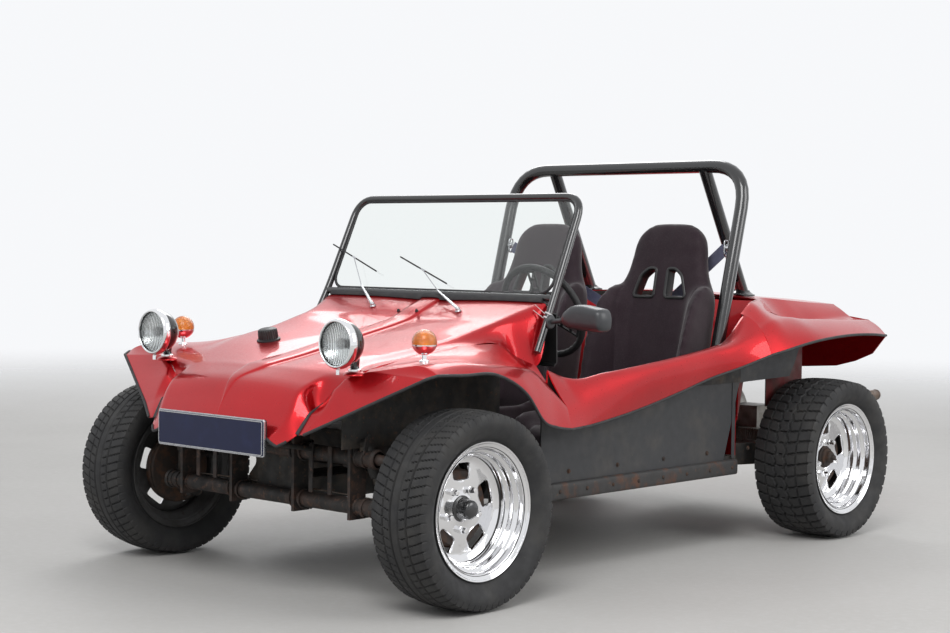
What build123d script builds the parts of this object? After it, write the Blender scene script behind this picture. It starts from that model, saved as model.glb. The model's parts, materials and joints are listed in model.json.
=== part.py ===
from build123d import *
import os
from math import cos, hypot, radians, sin, sqrt, tan

os.makedirs("parts", exist_ok=True)

# Open two-seat dune buggy, millimetres. +X is the car's left, the nose points to -Y, +Z is up
# and the ground is Z 0. Stations are measured back from the front axle.

# Frame and running gear
wheelbase = 2030.0
drawn_wheelbase = 2030.0  # the body tables are drawn for this one
front_axle_y = -1110.0
wall = 5.0  # glass fibre skin
panel_gap = 0.6  # between neighbouring body panels
fit_gap = 0.3  # between pieces that seat on each other

# Wheels
front_tyre_radius = 300.0
rear_tyre_radius = 300.0
front_tyre_width = 210.0
rear_tyre_width = 241.0
front_track_half = 714.0
rear_track_half = 697.0
front_rim_width = 164.0
rear_rim_width = 206.0
seat_radius = 190.5
lip_radius = 208.0
step_radius = 177.0
well_radius = 165.0
rim_wall = 5.0
disc_recess = 100.0  # from the outer lip to the wheel's disc
disc_thickness = 8.0
window_inner = 88.0
window_outer = 136.0
window_count = 5
lug_circle = 65.0
lug_radius = 9.0
lug_length = 22.0
hub_radius = 31.0
hub_length = 46.0
drum_radius = 120.0
drum_width = 48.0
bead_width = 14.0
tread_thickness = 14.0
sidewall_thickness = 12.0

# Steering
kingpin_x = front_track_half - 124
kingpin_radius = 14.0
knuckle_height = 110.0
eye_height = 36.0
spindle_radius = 22.0
steering_arm = 110.0  # from each pivot back to its rod
arm_low_z = 339.0
arm_thickness = 12.0
rod_eye_radius = 13.0
rod_eye_height = 16.7
tie_rod_radius = 8.0
pitman_x = 345.0

# Chassis
floor_z = 262.0
floor_thickness = 4.0
cockpit_half = 598.0
floor_front = 330.0
sill_front = 420.0
floor_back = 1590.0
tunnel_width = 110.0
tunnel_height = 110.0
frame_head_width = 170.0
frame_head_height = 76.0
rail_height = 62.0  # seat runners
sill_height = 68.0
sill_width = 40.0
beam_radius = 25.0
beam_low_z = 289.0
beam_spacing = 150.0
beam_y = -150.0
beam_half = kingpin_x - 120
upright_thickness = 12.0
arm_radius = 17.0

# Rear suspension
axle_tube_radius = 38.0
torsion_y = floor_back + 60.0
torsion_z = 320.0
torsion_radius = 38.0
torsion_box_height = 60.0
torsion_box_width = 400.0
rear_arm_thickness = 14.0
rear_arm_x = rear_track_half - rear_tyre_width / 2 - 42.5 - rear_arm_thickness
gearbox_front = torsion_y + 70.0
gearbox_back = drawn_wheelbase + 115.0
gearbox_nose = 72.0
gearbox_bell = 118.0

# Seats
seat_x = 303.0
seat_width = 470.0
back_foot_y = floor_back - 177.0
seat_front = back_foot_y - 508.0
back_foot_z = 450.0
back_tilt = 11.0
back_thickness = 85.0
bolster_width = 55.0

# Tubes
screen_tube = 25.0
hoop_tube = 49.0

# Front body: inner edge y, x, z; crest as a share of the way out, and its z; outer edge y, x, z;
# bow of the top and of the flank; hood beside the inner edge: centre z, shoulder x, z
front_rows = [
    (-340, 345, 516, 0.50, 518, -342, 374, 517, 0, 0, 604, 309, 572),
    (-300, 356, 576, 0.47, 569, -301, 450, 557, 0, 0, 664, 312, 640),
    (-241, 350, 605, 0.29, 653, -259, 545, 606, 0, 0, 693, 322, 672),
    (-222, 390, 655, 0.14, 684, -212, 650, 659, 0, 0, 700, 326, 681),
    (-203, 445, 692, 0.21, 708, -179, 725, 697, 0, 0, 707, 330, 690),
    (-161, 470, 711, 0.70, 733, -150, 741, 706, 0, 4, 715, 345, 705),
    (-40, 480, 735, 0.77, 738, -40, 742, 703, 0, 6, 737, 392, 741),
    (122, 490, 764, 0.82, 729, 111, 741, 697, -4, 6, 772, 443, 775),
    (254, 500, 773, 0.83, 714, 254, 740, 628, -8, 7, 800, 453, 800),
    (375, 505, 771, 0.80, 697, 330, 738, 546, -12, 7, 826, 468, 832),
    (440, 515, 735, 0.84, 640, 420, 722, 517, -10, 4, 843, 479, 850),
    (500, 560, 700, 0.87, 577, 500, 712, 505, -6, 2, 870, 497, 870),
]
# Hood rows in front of and behind the fenders: y, centre z, shoulder x, z, edge x, z
nose_rows = [(-381, 509, 255, 500, 300, 480), (-356, 572, 300, 538, 333, 502)]
cowl_row = (585, 906, 528, 902, 534, 830)
hood_bow = 4.0  # dome between the spine and the shoulder
spine_half = 48.0
spine_rise = 9.0
spine_start = -356.0
spine_full = -222.0
nose_low_z = 472.0
nose_half = 250.0

# Side: y, inner edge x, z, crest x, z, outer edge x, z, bow of the shoulder and of the flank
side_rows = [
    (500, 560, 700, 692, 577, 712, 505, -6, 2),
    (609, 622, 664, 686, 583, 695, 508, 6, 2),
    (743, 640, 678, 682, 604, 683, 521, 8, 2),
    (936, 650, 696, 682, 646, 674, 549, 9, 3),
    (1135, 650, 714, 682, 685, 675, 590, 9, 4),
    (1342, 640, 737, 683, 720, 683, 638, 9, 5),
    (1452, 622, 752, 692, 745, 700, 661, 9, 5),
    (1600, 602, 851, 690, 800, 740, 705, 9, 6),
]
side_foot_z = 600.0

# Rear fender: y, deck edge x, z, valley x, z, crest x, z, outer edge x, z
rear_rows = [
    (1600, 602, 851, 645, 832, 690, 800, 740, 705),
    (1690, 580, 891, 622, 868, 688, 828, 757, 723),
    (1750, 555, 895, 600, 868, 680, 830, 765, 735),
    (1850, 505, 900, 565, 850, 660, 836, 775, 751),
    (1954, 450, 902, 530, 825, 640, 830, 775, 760),
    (2147, 450, 890, 530, 802, 630, 824, 760, 766),
    (2294, 450, 880, 530, 812, 630, 818, 745, 763),
    (2480, 455, 870, 530, 824, 620, 812, 703, 752),
]
rear_bows = (3, -4, 7)  # deck edge to valley, valley to crest, crest to outer edge
inner_wall_bow = 0.02  # of its height
arch_wall_x = 548.0
arch_wall_low_z = 492.0
deck_front = 1850.0
deck_crown = 22.0
tail_y = 2480.0

# The floor's stretch between the front and the rear axle is in the foot room
stretch_front = 560.0
stretch_back = 900.0


def at(y):
    """Y of a station; the body is drawn for one wheelbase and takes any difference in the foot room."""
    share = min(max((y - stretch_front) / (stretch_back - stretch_front), 0), 1)
    return front_axle_y + y + share * (wheelbase - drawn_wheelbase)


def cowl(y):
    """Y of a station on what keeps its place behind the hood."""
    return front_axle_y + y


def inset(points, depth, upright=()):
    """The points moved by the depth to the right-hand side of their line, mitred at its corners.

    Points whose index is in upright move straight down instead.
    """
    normals = []
    for (x0, z0), (x1, z1) in zip(points, points[1:]):
        length = hypot(x1 - x0, z1 - z0)
        normals.append(((z1 - z0) / length, (x0 - x1) / length))
    moved = []
    for index, (x, z) in enumerate(points):
        if index in upright:
            moved.append((x, z - depth * 1.2))
            continue
        before = normals[max(index - 1, 0)]
        after = normals[min(index, len(normals) - 1)]
        mitre = (before[0] + after[0], before[1] + after[1])
        length = hypot(*mitre)
        reach = depth / max(length / 2, 0.45)
        moved.append((x + reach * mitre[0] / length, z + reach * mitre[1] / length))
    return moved


def run(points, bows):
    """Joins the points in turn, each stretch bowed to its left by its bow, inside the active line."""
    for (x0, z0), (x1, z1), bow in zip(points, points[1:], bows):
        if bow == 0:
            Line((x0, z0), (x1, z1))
        else:
            length = hypot(x1 - x0, z1 - z0)
            middle = ((x0 + x1) / 2 - bow * (z1 - z0) / length, (z0 + z1) / 2 + bow * (x1 - x0) / length)
            ThreePointArc((x0, z0), middle, (x1, z1))


def strip(plane, points, bows, depth, upright=()):
    """A thin section on a plane: its outer face runs through the points, its inner one lies below."""
    inner = inset(points, depth, upright)
    with BuildSketch(plane) as section:
        with BuildLine():
            run(points, bows)
            Line(points[-1], inner[-1])
            run(inner[::-1], [-bow for bow in reversed(bows)])
            Line(inner[0], points[0])
        make_face()
    return section.sketch


def across(y):
    """The upright plane across the car at a Y, with +X to its right."""
    return Plane.XZ.offset(-y)


def between(rows, position, column):
    """The column's value at a position, on straight runs between the rows."""
    for low, high in zip(rows, rows[1:]):
        if position <= high[0] or high is rows[-1]:
            share = (position - low[0]) / (high[0] - low[0])
            return low[column] + share * (high[column] - low[column])


def finish(part, name):
    part.label = name
    export_step(part, f"parts/{name}.step")


def pairs(values):
    return list(zip(values[::2], values[1::2]))


def both_sides(build, name):
    """Builds a left piece, mirrors it, writes both and gives the left one back."""
    left = build()
    finish(left, f"{name}_left")
    with BuildPart() as right:
        mirror(left, about=Plane.YZ)
    finish(right.part, f"{name}_right")
    return left


def bent_tube(points, radius, bend):
    """A round bar along straight runs with rounded bends, inside the active part."""
    with BuildLine() as path:
        FilletPolyline(*points, radius=bend)
    with BuildSketch(Plane(origin=path.line @ 0, z_dir=path.line % 0)) as section:
        Circle(radius)
    sweep(section.sketch, path=path.line)


def rod(start, end, radius):
    """A round rod between two points, inside the active part."""
    with BuildLine() as path:
        Line(start, end)
    with BuildSketch(Plane(origin=start, z_dir=path.line % 0)) as section:
        Circle(radius)
    sweep(section.sketch, path=path.line)


def resting_plane(height, x, y, reach):
    """A plane just above a surface, tilted with it, whose disc of that reach clears it."""
    slope_x = (height(x + reach, y) - height(x - reach, y)) / (2 * reach)
    slope_y = (height(x, y + reach) - height(x, y - reach)) / (2 * reach)
    steps = [(reach * i, reach * j) for i in (-1, -0.7, 0, 0.7, 1) for j in (-1, -0.7, 0, 0.7, 1)
             if hypot(i, j) <= 1]
    rise = max(height(x + dx, y + dy) - height(x, y) - slope_x * dx - slope_y * dy for dx, dy in steps)
    return Plane(origin=(x, at(y), height(x, y) + rise), x_dir=(1, 0, slope_x),
                 z_dir=(-slope_x, -slope_y, 1)).offset(fit_gap)


def seated(piece, *panels):
    """The piece lowered until it rests on the panels, short of touching them by the seat's gap."""
    for turn in range(8):
        gap = min(piece.distance_to(panel) for panel in panels)
        piece = piece.moved(Location((0, 0, fit_gap - gap)))
    return piece


# Hood: one panel with a raised spine, folded down at the nose
hood_rows = nose_rows + [(row[0], *row[10:], row[1] - panel_gap, row[2]) for row in front_rows] + [cowl_row]


def spine_share(y):
    """How far the spine has risen at a station, from a trace at the nose to the whole."""
    return min(max((y - spine_start) / (spine_full - spine_start), 0.15), 1)


def hood_points(row):
    """Section of the hood from edge to edge through both shoulders and the spine's two feet."""
    y, top, shoulder_x, shoulder_z, edge_x, edge_z = row
    share = spine_share(y)
    half = [(edge_x, edge_z), (shoulder_x, shoulder_z), (spine_half * share, top - spine_rise * share)]
    return [(-x, z) for x, z in half] + half[::-1]


def hood_top(x, y):
    """Height of the hood between the spine and the shoulder."""
    points = [hood_points(row) for row in hood_rows]
    foot = [(row[0], *side[3], *side[4]) for row, side in zip(hood_rows, points)]
    inner_x, inner_z, outer_x, outer_z = (between(foot, y, column) for column in (1, 2, 3, 4))
    share = (abs(x) - inner_x) / (outer_x - inner_x)
    return inner_z + share * (outer_z - inner_z) + hood_bow * (1 - (2 * share - 1) ** 2)


def flank_x(y, z):
    """X of the hood's flank, between its shoulder and its edge."""
    top_x, top_z, low_x, low_z = (between(hood_rows, y, column) for column in (2, 3, 4, 5))
    return top_x + (top_z - z) / (top_z - low_z) * (low_x - top_x)


with BuildPart() as hood:
    sections = []
    for row, ahead in zip(hood_rows, [hood_rows[0], *hood_rows]):
        slope = (row[1] - ahead[1]) / (row[0] - ahead[0]) if row is not ahead else 2.5
        bows = [-3, hood_bow, spine_rise * spine_share(row[0]) / 2 + 1, hood_bow, -3]
        sections.append(strip(across(at(row[0])), hood_points(row), bows, wall * hypot(1, slope)))
    loft(sections, ruled=True)
    with BuildSketch(Plane.YZ):
        with BuildLine():
            front_y, lip_z = at(nose_rows[0][0]), nose_rows[0][3] - 1
            Polyline((front_y + 0.5, lip_z), (front_y + wall / 2, lip_z + wall / 2), (front_y + wall, lip_z),
                     (front_y + 3 * wall, nose_low_z), (front_y + 2 * wall, nose_low_z), close=True)
        make_face()
    extrude(amount=nose_half, both=True)
finish(hood.part, "hood")


# Front fender: ribs in upright planes from the hood's edge out to the wheel arch
def rib_plane(row):
    """The upright plane from a row's inner edge towards its outer edge, and their distance apart."""
    start = (row[1], at(row[0]))
    run_x, run_y = row[6] - row[1], at(row[5]) - start[1]
    reach = hypot(run_x, run_y)
    return Plane(origin=(*start, 0), x_dir=(run_x, run_y, 0), z_dir=(run_y, -run_x, 0)), reach


def fender_spot(index, along, out):
    """A plane resting on the fender's top, between two rows, part of the way from its edge to its crest."""
    corners = []
    for row in front_rows[index:index + 2]:
        plane, reach = rib_plane(row)
        corners.append([plane.from_local_coords(Vector(0, row[2], 0)),
                        plane.from_local_coords(Vector(reach * row[3], row[4], 0))])
    (near_in, near_out), (far_in, far_out) = corners
    inner = near_in + (far_in - near_in) * along
    crest = near_out + (far_out - near_out) * along
    backward = (far_in - near_in) * (1 - out) + (far_out - near_out) * out
    normal = (crest - inner).cross(backward)
    return Plane(origin=inner + (crest - inner) * out, x_dir=crest - inner, z_dir=normal).offset(fit_gap)


def front_fender():
    with BuildPart() as panel:
        sections = []
        for row in front_rows:
            plane, reach = rib_plane(row)
            points = [(0, row[2]), (reach * row[3], row[4]), (reach, row[7])]
            sections.append(strip(plane, points, row[8:10], wall))
        loft(sections, ruled=True)
    return panel.part


left_fender = both_sides(front_fender, "front_fender")


# Side: the cockpit's inner wall, its rounded edge and the flank down to the side panel
def side():
    with BuildPart() as panel:
        sections = []
        for y, inner_x, inner_z, crest_x, crest_z, outer_x, outer_z, *bows in side_rows:
            foot = (cockpit_half + fit_gap + wall + panel_gap, min(side_foot_z, inner_z - 60))
            points = [foot, (max(inner_x, foot[0]), inner_z), (crest_x, crest_z), (outer_x, outer_z)]
            start = panel_gap if y == side_rows[0][0] else 0
            sections.append(strip(across(at(y) + start), points, [0, *bows], wall))
        loft(sections, ruled=True)
    return panel.part


both_sides(side, "side")


# Bulkhead behind the seats: an upright foot and a sloping wall that narrows up to the deck
bulkhead_foot = (floor_back + wall, floor_z + torsion_box_height + fit_gap)
bulkhead_bend = (floor_back + wall, 450.0)
bulkhead_top = (deck_front - panel_gap - wall, 893.0)
bulkhead_half = cockpit_half - 8
bulkhead_top_half = 498.0


def bulkhead_edge(y):
    """X and Z of the bulkhead's sloping side edge."""
    share = (y - bulkhead_bend[0]) / (bulkhead_top[0] - bulkhead_bend[0])
    return (bulkhead_half + share * (bulkhead_top_half - bulkhead_half),
            bulkhead_bend[1] + share * (bulkhead_top[1] - bulkhead_bend[1]))


with BuildPart() as bulkhead:
    with BuildSketch(Plane.YZ):
        with BuildLine():
            outer = [(at(y), z) for y, z in (bulkhead_foot, bulkhead_bend, bulkhead_top)]
            Polyline(*outer, *reversed(inset(outer, wall)), close=True)
        make_face()
    extrude(amount=bulkhead_half, both=True)
    slope = (bulkhead_half - bulkhead_top_half) / (bulkhead_top[1] - bulkhead_bend[1])
    for sign in (-1, 1):
        with BuildSketch(across(at(floor_back))) as corner:
            with BuildLine():
                low = (sign * bulkhead_half, bulkhead_bend[1])
                high = (sign * (bulkhead_half - slope * 500), bulkhead_bend[1] + 500)
                beyond = sign * bulkhead_half * 1.2
                Polyline(low, high, (beyond, high[1]), (beyond, low[1]), close=True)
            make_face()
        extrude(amount=-400, mode=Mode.SUBTRACT)
finish(bulkhead.part, "bulkhead")


# Rear fender: inner wall beside the bulkhead, ribs from the deck's edge out to the wheel arch, and
# the arch's inner wall below the valley
def valley_z(x, y):
    """Height of the rear fender between the deck's edge and the valley, or just outside the valley."""
    edge_x, edge_z, low_x, low_z, crest_x, crest_z = (between(rear_rows, y, column) for column in range(1, 7))
    return between([(edge_x, edge_z), (low_x, low_z), (crest_x, crest_z)], x, 1)


def rear_fender():
    with BuildPart() as panel:
        corner = []
        for y, *values in rear_rows:
            if y <= deck_front:
                edge_x, edge_z = bulkhead_edge(y)
                start = panel_gap if y == rear_rows[0][0] else 0
                points = [(edge_x + 3, min(edge_z, values[1] - 16)), *pairs(values)]
                inner_bow = inner_wall_bow * (points[1][1] - points[0][1])
                corner.append(strip(across(at(y) + start), points, [inner_bow, *rear_bows], wall))
        loft(corner, ruled=True)
        behind = [row for row in rear_rows if row[0] >= deck_front]
        tail = [strip(across(at(row[0])), pairs(row[1:]), rear_bows, wall, upright=(0,)) for row in behind]
        loft(tail, ruled=True)
        with BuildSketch(Plane.YZ.offset(arch_wall_x)):
            with BuildLine():
                top = [(at(y), valley_z(arch_wall_x, y) - wall / 2) for y in (1856, 1954, 2050, 2106)]
                Polyline(*top, (at(2106), arch_wall_low_z), (at(1856), arch_wall_low_z), close=True)
            make_face()
        extrude(amount=-wall)
    return panel.part


both_sides(rear_fender, "rear_fender")


# Rear deck between the rear fenders, and the tail panel below its back edge
def deck_top(x, y):
    """Height of the rear deck, an arc from edge to edge."""
    half, edge_z = between(rear_rows, y, 1) - panel_gap, between(rear_rows, y, 2)
    radius = (half ** 2 + deck_crown ** 2) / (2 * deck_crown)
    return edge_z + deck_crown - radius + sqrt(radius ** 2 - x ** 2)


with BuildPart() as rear_deck:
    sections = []
    for row in rear_rows:
        if row[0] >= deck_front:
            points = [(-row[1] + panel_gap, row[2]), (row[1] - panel_gap, row[2])]
            sections.append(strip(across(at(row[0])), points, [deck_crown], wall))
    loft(sections, ruled=True)
finish(rear_deck.part, "rear_deck")

tail_outline = [
    (292, 606), (477, 619), (563, 642), (642, 676), (703, 752), (620, 812), (530, 824), (455, 870),
]
with BuildPart() as tail_panel:
    with BuildSketch(across(at(tail_y) + panel_gap)):
        with BuildLine():
            left = Polyline(*tail_outline)
            right = Polyline(*[(-x, z) for x, z in tail_outline])
            Line(left @ 0, right @ 0)
            ThreePointArc(left @ 1, (0, tail_outline[-1][1] + deck_crown), right @ 1)
        make_face()
    extrude(amount=-wall)
finish(tail_panel.part, "tail_panel")

# Floor pan with its tunnel, sills, seat runners, frame head, toe board and torsion tube
torsion_half = rear_arm_x - fit_gap
tub_half = kingpin_x - 160
toe_half = tub_half - wall - fit_gap
with BuildPart() as floor_pan:
    middle_y = (at(floor_front) + at(floor_back)) / 2
    length = at(floor_back) - at(floor_front)
    with Locations((0, middle_y, floor_z)):
        Box(2 * toe_half, length, floor_thickness, align=(Align.CENTER, Align.CENTER, Align.MIN))
        Box(tunnel_width, length, tunnel_height, align=(Align.CENTER, Align.CENTER, Align.MIN))
    with Locations((0, at(sill_front), floor_z)):
        Box(2 * cockpit_half, at(floor_back) - at(sill_front), floor_thickness,
            align=(Align.CENTER, Align.MIN, Align.MIN))
    for sign in (-1, 1):
        with Locations((sign * (cockpit_half - sill_width / 2), at(sill_front), floor_z)):
            Box(sill_width, at(floor_back) - at(sill_front), sill_height,
                align=(Align.CENTER, Align.MIN, Align.MIN))
        rail_y, rail_z = at(seat_front + 245), floor_z + floor_thickness
        with Locations(*[(sign * (seat_x + offset), rail_y, rail_z) for offset in (-150, 150)]):
            Box(30, 400, rail_height, align=(Align.CENTER, Align.CENTER, Align.MIN))
    head_front = at(beam_y) + beam_radius + fit_gap
    with Locations((0, head_front, floor_z)):
        Box(frame_head_width, at(floor_front) - head_front, frame_head_height,
            align=(Align.CENTER, Align.MIN, Align.MIN))
        Box(frame_head_width, 40, beam_spacing + 50, align=(Align.CENTER, Align.MIN, Align.MIN))
    with Locations((0, at(torsion_y), torsion_z)):
        Cylinder(torsion_radius, 2 * torsion_half, rotation=(0, 90, 0))
    with Locations((0, at(floor_back), floor_z)):
        Box(torsion_box_width, at(torsion_y) - at(floor_back), torsion_box_height,
            align=(Align.CENTER, Align.MIN, Align.MIN))
    with BuildSketch(Plane.YZ):
        with BuildLine():
            toe = [(at(floor_front) - 95, 480), (at(floor_front), floor_z), (at(floor_front) + 20, floor_z)]
            lining = [(y + floor_thickness, z + floor_thickness) for y, z in toe]
            Polyline(*toe, *reversed(lining), close=True)
        make_face()
    extrude(amount=toe_half, both=True)
finish(floor_pan.part, "floor_pan")


# Front tub: the inner walls of both wheel arches, joined by a shelf above the frame head. Rows of the
# wall: y, low z, high z
tub_rows = [
    (-235, 470, 600), (-161, 470, 672), (-40, 470, 700), (122, 470, 735), (300, 470, 760), (470, 330, 760),
]
with BuildPart() as front_tub:
    for sign in (-1, 1):
        with BuildSketch(Plane.YZ.offset(sign * tub_half)):
            with BuildLine():
                Polyline(*[(at(y), low) for y, low, high in tub_rows],
                         *[(at(y), high) for y, low, high in reversed(tub_rows)], close=True)
            make_face()
        extrude(amount=-sign * wall)
    with Locations((0, at(50), 484)):
        Box(2 * tub_half - wall, at(floor_front) - 95 - at(50), wall,
            align=(Align.CENTER, Align.MIN, Align.MIN))
finish(front_tub.part, "front_tub")


# Side panel: sheet beside the sill, with a tongue over the rear wheel
def side_panel():
    with BuildPart() as panel:
        with BuildSketch(Plane.YZ.offset(cockpit_half + fit_gap)):
            with BuildLine():
                Polyline(
                    (at(480), floor_z), (at(480), 640), (at(743), 640), (at(1135), 640), (at(1342), 690),
                    (at(1600), 715), (at(2002), 715), (at(1968), 656), (at(1935), 607), (at(1600), 598),
                    (at(1512), 337), (at(1480), floor_z), close=True,
                )
            make_face()
        extrude(amount=wall)
    return panel.part


both_sides(side_panel, "side_panel")

# Windscreen frame: a hoop of tube whose legs rest beside the hood's flank
screen_low = (546, 600, 918)
screen_high = (540, 756, 1257)
foot_y, foot_z = 506, 744
screen_foot = (flank_x(foot_y, foot_z) + screen_tube / 2 + fit_gap, foot_y, foot_z)


def on_cowl(point, sign=1):
    return (sign * point[0], cowl(point[1]), point[2])


with BuildPart() as windshield_frame:
    corners = [screen_foot, screen_low, screen_high]
    hoop = [on_cowl(p) for p in corners] + [on_cowl(p, -1) for p in reversed(corners)]
    bent_tube(hoop, screen_tube / 2, 62)
    rod(on_cowl(screen_low, -1), on_cowl(screen_low), screen_tube / 2)
finish(windshield_frame.part, "windshield_frame")

with BuildPart() as windshield_glass:
    lean = (screen_high[1] - screen_low[1], screen_high[2] - screen_low[2])
    pane_foot = Plane(origin=(0, cowl(screen_low[1]), screen_low[2]), x_dir=(1, 0, 0),
                      z_dir=(0, -lean[1], lean[0]))
    with BuildSketch(pane_foot):
        with Locations((0, hypot(*lean) / 2)):
            RectangleRounded(2 * screen_high[0] - screen_tube - 2 * fit_gap - 2,
                             hypot(*lean) - screen_tube - 2 * fit_gap, 50)
    extrude(amount=3, both=True)
finish(windshield_glass.part, "windshield_glass")

# Roll bar: main hoop on the sills and two braces down to the deck
hoop_top = (567, 1686, 1399)
hoop_lean = (1686 - 1514) / (1399 - 752)
brace_x = 370.0
brace_foot_y = 1940.0
brace_plate = 70.0
with BuildPart() as roll_bar:
    foot_z = floor_z + sill_height + fit_gap
    foot = (hoop_top[0], at(hoop_top[1] - hoop_lean * (hoop_top[2] - foot_z + 20)), foot_z - 20)
    top = (hoop_top[0], at(hoop_top[1]), hoop_top[2])
    bent_tube([foot, top, (-top[0], *top[1:]), (-foot[0], *foot[1:])], hoop_tube / 2, 130)
    split(bisect_by=Plane.XY.offset(foot_z), keep=Keep.TOP)
    for sign in (-1, 1):
        base = resting_plane(deck_top, sign * brace_x, brace_foot_y, brace_plate * 0.71)
        head = (sign * brace_x, at(hoop_top[1]), hoop_top[2] - 16)
        rod(head, base.offset(hoop_tube / 2).origin, hoop_tube / 2)
        with Locations(base):
            Box(brace_plate, brace_plate, hoop_tube / 2, align=(Align.CENTER, Align.CENTER, Align.MIN))
finish(roll_bar.part, "roll_bar")


# Seats: a back with two belt slots and side wings, and a cushion between thigh bolsters
belt_slot = [(28, 465), (117, 465), (74, 571), (28, 571)]  # corners, out from the middle and up the back

# Outline of a bolster: y from the cushion's front edge, z; then y from the back's foot, z
bolster_thigh = [(5, 400), (20, 480), (90, 505)]
bolster_back = [(-183, 500), (-103, 560), (-73, 700), (-29, 880), (27, 945), (117, 965), (27, 430)]


def seat():
    half = seat_width / 2
    low = floor_z + floor_thickness + rail_height + fit_gap
    lean = radians(back_tilt)
    back_plane = Plane(origin=(seat_x, at(back_foot_y), back_foot_z), x_dir=(1, 0, 0),
                       z_dir=(0, -cos(lean), sin(lean)))
    with BuildPart() as body:
        with BuildSketch(back_plane):
            with BuildLine():
                corners = [(half, 0), (half, 450), (160, 590), (160, 754)]
                outline = FilletPolyline(*corners, *[(-x, z) for x, z in reversed(corners)],
                                         radius=[60, 90, 115, 115, 90, 60])
                Line(outline @ 0, outline @ 1)
            make_face()
            for sign in (-1, 1):
                with BuildLine():
                    Polyline(*[(sign * x, z) for x, z in belt_slot], close=True)
                make_face(mode=Mode.SUBTRACT)
        extrude(amount=-back_thickness)
        with BuildSketch(Plane.YZ.offset(seat_x - half)):
            with BuildLine():
                Polyline((at(seat_front), low), (at(seat_front), 420), (at(seat_front + 35), 448),
                         (at(back_foot_y - 133), 410), (at(back_foot_y), 425),
                         (at(back_foot_y + 60), back_foot_z + 60), (at(back_foot_y + 75), low), close=True)
            make_face()
        extrude(amount=seat_width)
        for side_x in (seat_x - half, seat_x + half - bolster_width):
            with BuildSketch(Plane.YZ.offset(side_x)):
                with BuildLine():
                    Polyline(*[(at(seat_front + y), z) for y, z in bolster_thigh],
                             *[(at(back_foot_y + y), z) for y, z in bolster_back], close=True)
                make_face()
            extrude(amount=bolster_width)
    return body.part


both_sides(seat, "seat")

# Belt: a guide on the hoop's leg, webbing behind the seat's back and its anchor on the bulkhead
belt_width = 46.0
belt_thickness = 2.0
guide_z = 1092.0
anchor_x = 60.0
anchor_z = 800.0
anchor_depth = 20.0


def belt():
    guide_y = hoop_top[1] - hoop_lean * (hoop_top[2] - guide_z)
    guide = Plane(origin=(hoop_top[0] - hoop_tube / 2 - fit_gap, at(guide_y), guide_z), z_dir=(-1, 0, 0))
    run_y, run_z = bulkhead_top[0] - bulkhead_bend[0], bulkhead_top[1] - bulkhead_bend[1]
    anchor_y = bulkhead_bend[0] + (anchor_z - bulkhead_bend[1]) * run_y / run_z
    anchor = Plane(origin=(anchor_x, at(anchor_y), anchor_z), x_dir=(1, 0, 0),
                   z_dir=(0, -run_z, run_y)).offset(fit_gap)
    with BuildPart() as webbing:
        with BuildSketch(guide):
            Circle(9)
        extrude(amount=16)
        with BuildSketch(guide.offset(10)):
            RectangleRounded(34, 60, 8)
        extrude(amount=5)
        with BuildSketch(anchor):
            RectangleRounded(60, 44, 8)
        extrude(amount=anchor_depth)
        start, end = guide.offset(12).origin, anchor.offset(anchor_depth - 5).origin
        reach = end - start
        with BuildSketch(Plane(origin=start, x_dir=reach.cross(Vector(0, -1, 0)), z_dir=reach)):
            Rectangle(belt_width, belt_thickness)
        extrude(amount=reach.length)
    return webbing.part


both_sides(belt, "belt")

# Steering wheel, its column down to the box on the front beam, and the box
wheel_centre = (pitman_x, 785, 866)
wheel_tilt = 25.0
wheel_radius = 165.0
wheel_grip = 13.0
jacket_radius = 21.0
jacket_length = 260.0
shaft_radius = 10.0
steer_axis = (0, cos(radians(wheel_tilt)), sin(radians(wheel_tilt)))
wheel_plane = Plane(origin=on_cowl(wheel_centre), x_dir=(1, 0, 0), z_dir=steer_axis)
with BuildPart() as steering_wheel:
    with BuildSketch(Plane(origin=wheel_plane.origin, x_dir=wheel_plane.x_dir, z_dir=wheel_plane.y_dir)):
        with Locations((wheel_radius, 0)):
            Circle(wheel_grip)
    revolve(axis=Axis(wheel_plane.origin, wheel_plane.z_dir))
    with BuildSketch(wheel_plane):
        Circle(40)
        with PolarLocations(0, 3, start_angle=-90):
            with Locations((wheel_radius / 2, 0)):
                Rectangle(wheel_radius, 36)
    extrude(amount=-8)
    with BuildSketch(wheel_plane):
        Circle(30)
    extrude(amount=14)
finish(steering_wheel.part, "steering_wheel")

box_boss_y = 0.0
column_reach = (wheel_centre[1] - box_boss_y) / steer_axis[1]
with BuildPart() as steering_column:
    with BuildSketch(wheel_plane.offset(-8 - fit_gap)):
        Circle(jacket_radius)
    extrude(amount=-jacket_length)
    with BuildSketch(wheel_plane.offset(-jacket_length)):
        Circle(shaft_radius)
    extrude(amount=-(column_reach - jacket_length - fit_gap))
finish(steering_column.part, "steering_column")

pitman_top_z = 400.0
with BuildPart() as steering_box:
    box_front = at(beam_y) + beam_radius + fit_gap
    with Locations((pitman_x, box_front, pitman_top_z)):
        Box(56, at(25) - box_front, 70, align=(Align.CENTER, Align.MIN, Align.MIN))
    with BuildSketch(wheel_plane.offset(-column_reach)):
        Circle(shaft_radius + 12)
    extrude(amount=-60)
finish(steering_box.part, "steering_box")


def link_arm(x):
    """A flat arm from a pivot on the axle's line back to its rod's eye, inside the active part."""
    with BuildSketch(Plane.XY.offset(arm_low_z)) as outline:
        with Locations((x, at(steering_arm / 2))):
            Rectangle(20, steering_arm)
        with Locations((x, at(steering_arm))):
            Circle(rod_eye_radius)
    extrude(outline.sketch, amount=arm_thickness)


with BuildPart() as pitman_arm:
    link_arm(pitman_x)
    with Locations((pitman_x, at(0), arm_low_z)):
        Cylinder(18, pitman_top_z - fit_gap - arm_low_z, align=(Align.CENTER, Align.CENTER, Align.MIN))
finish(pitman_arm.part, "pitman_arm")


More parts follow.
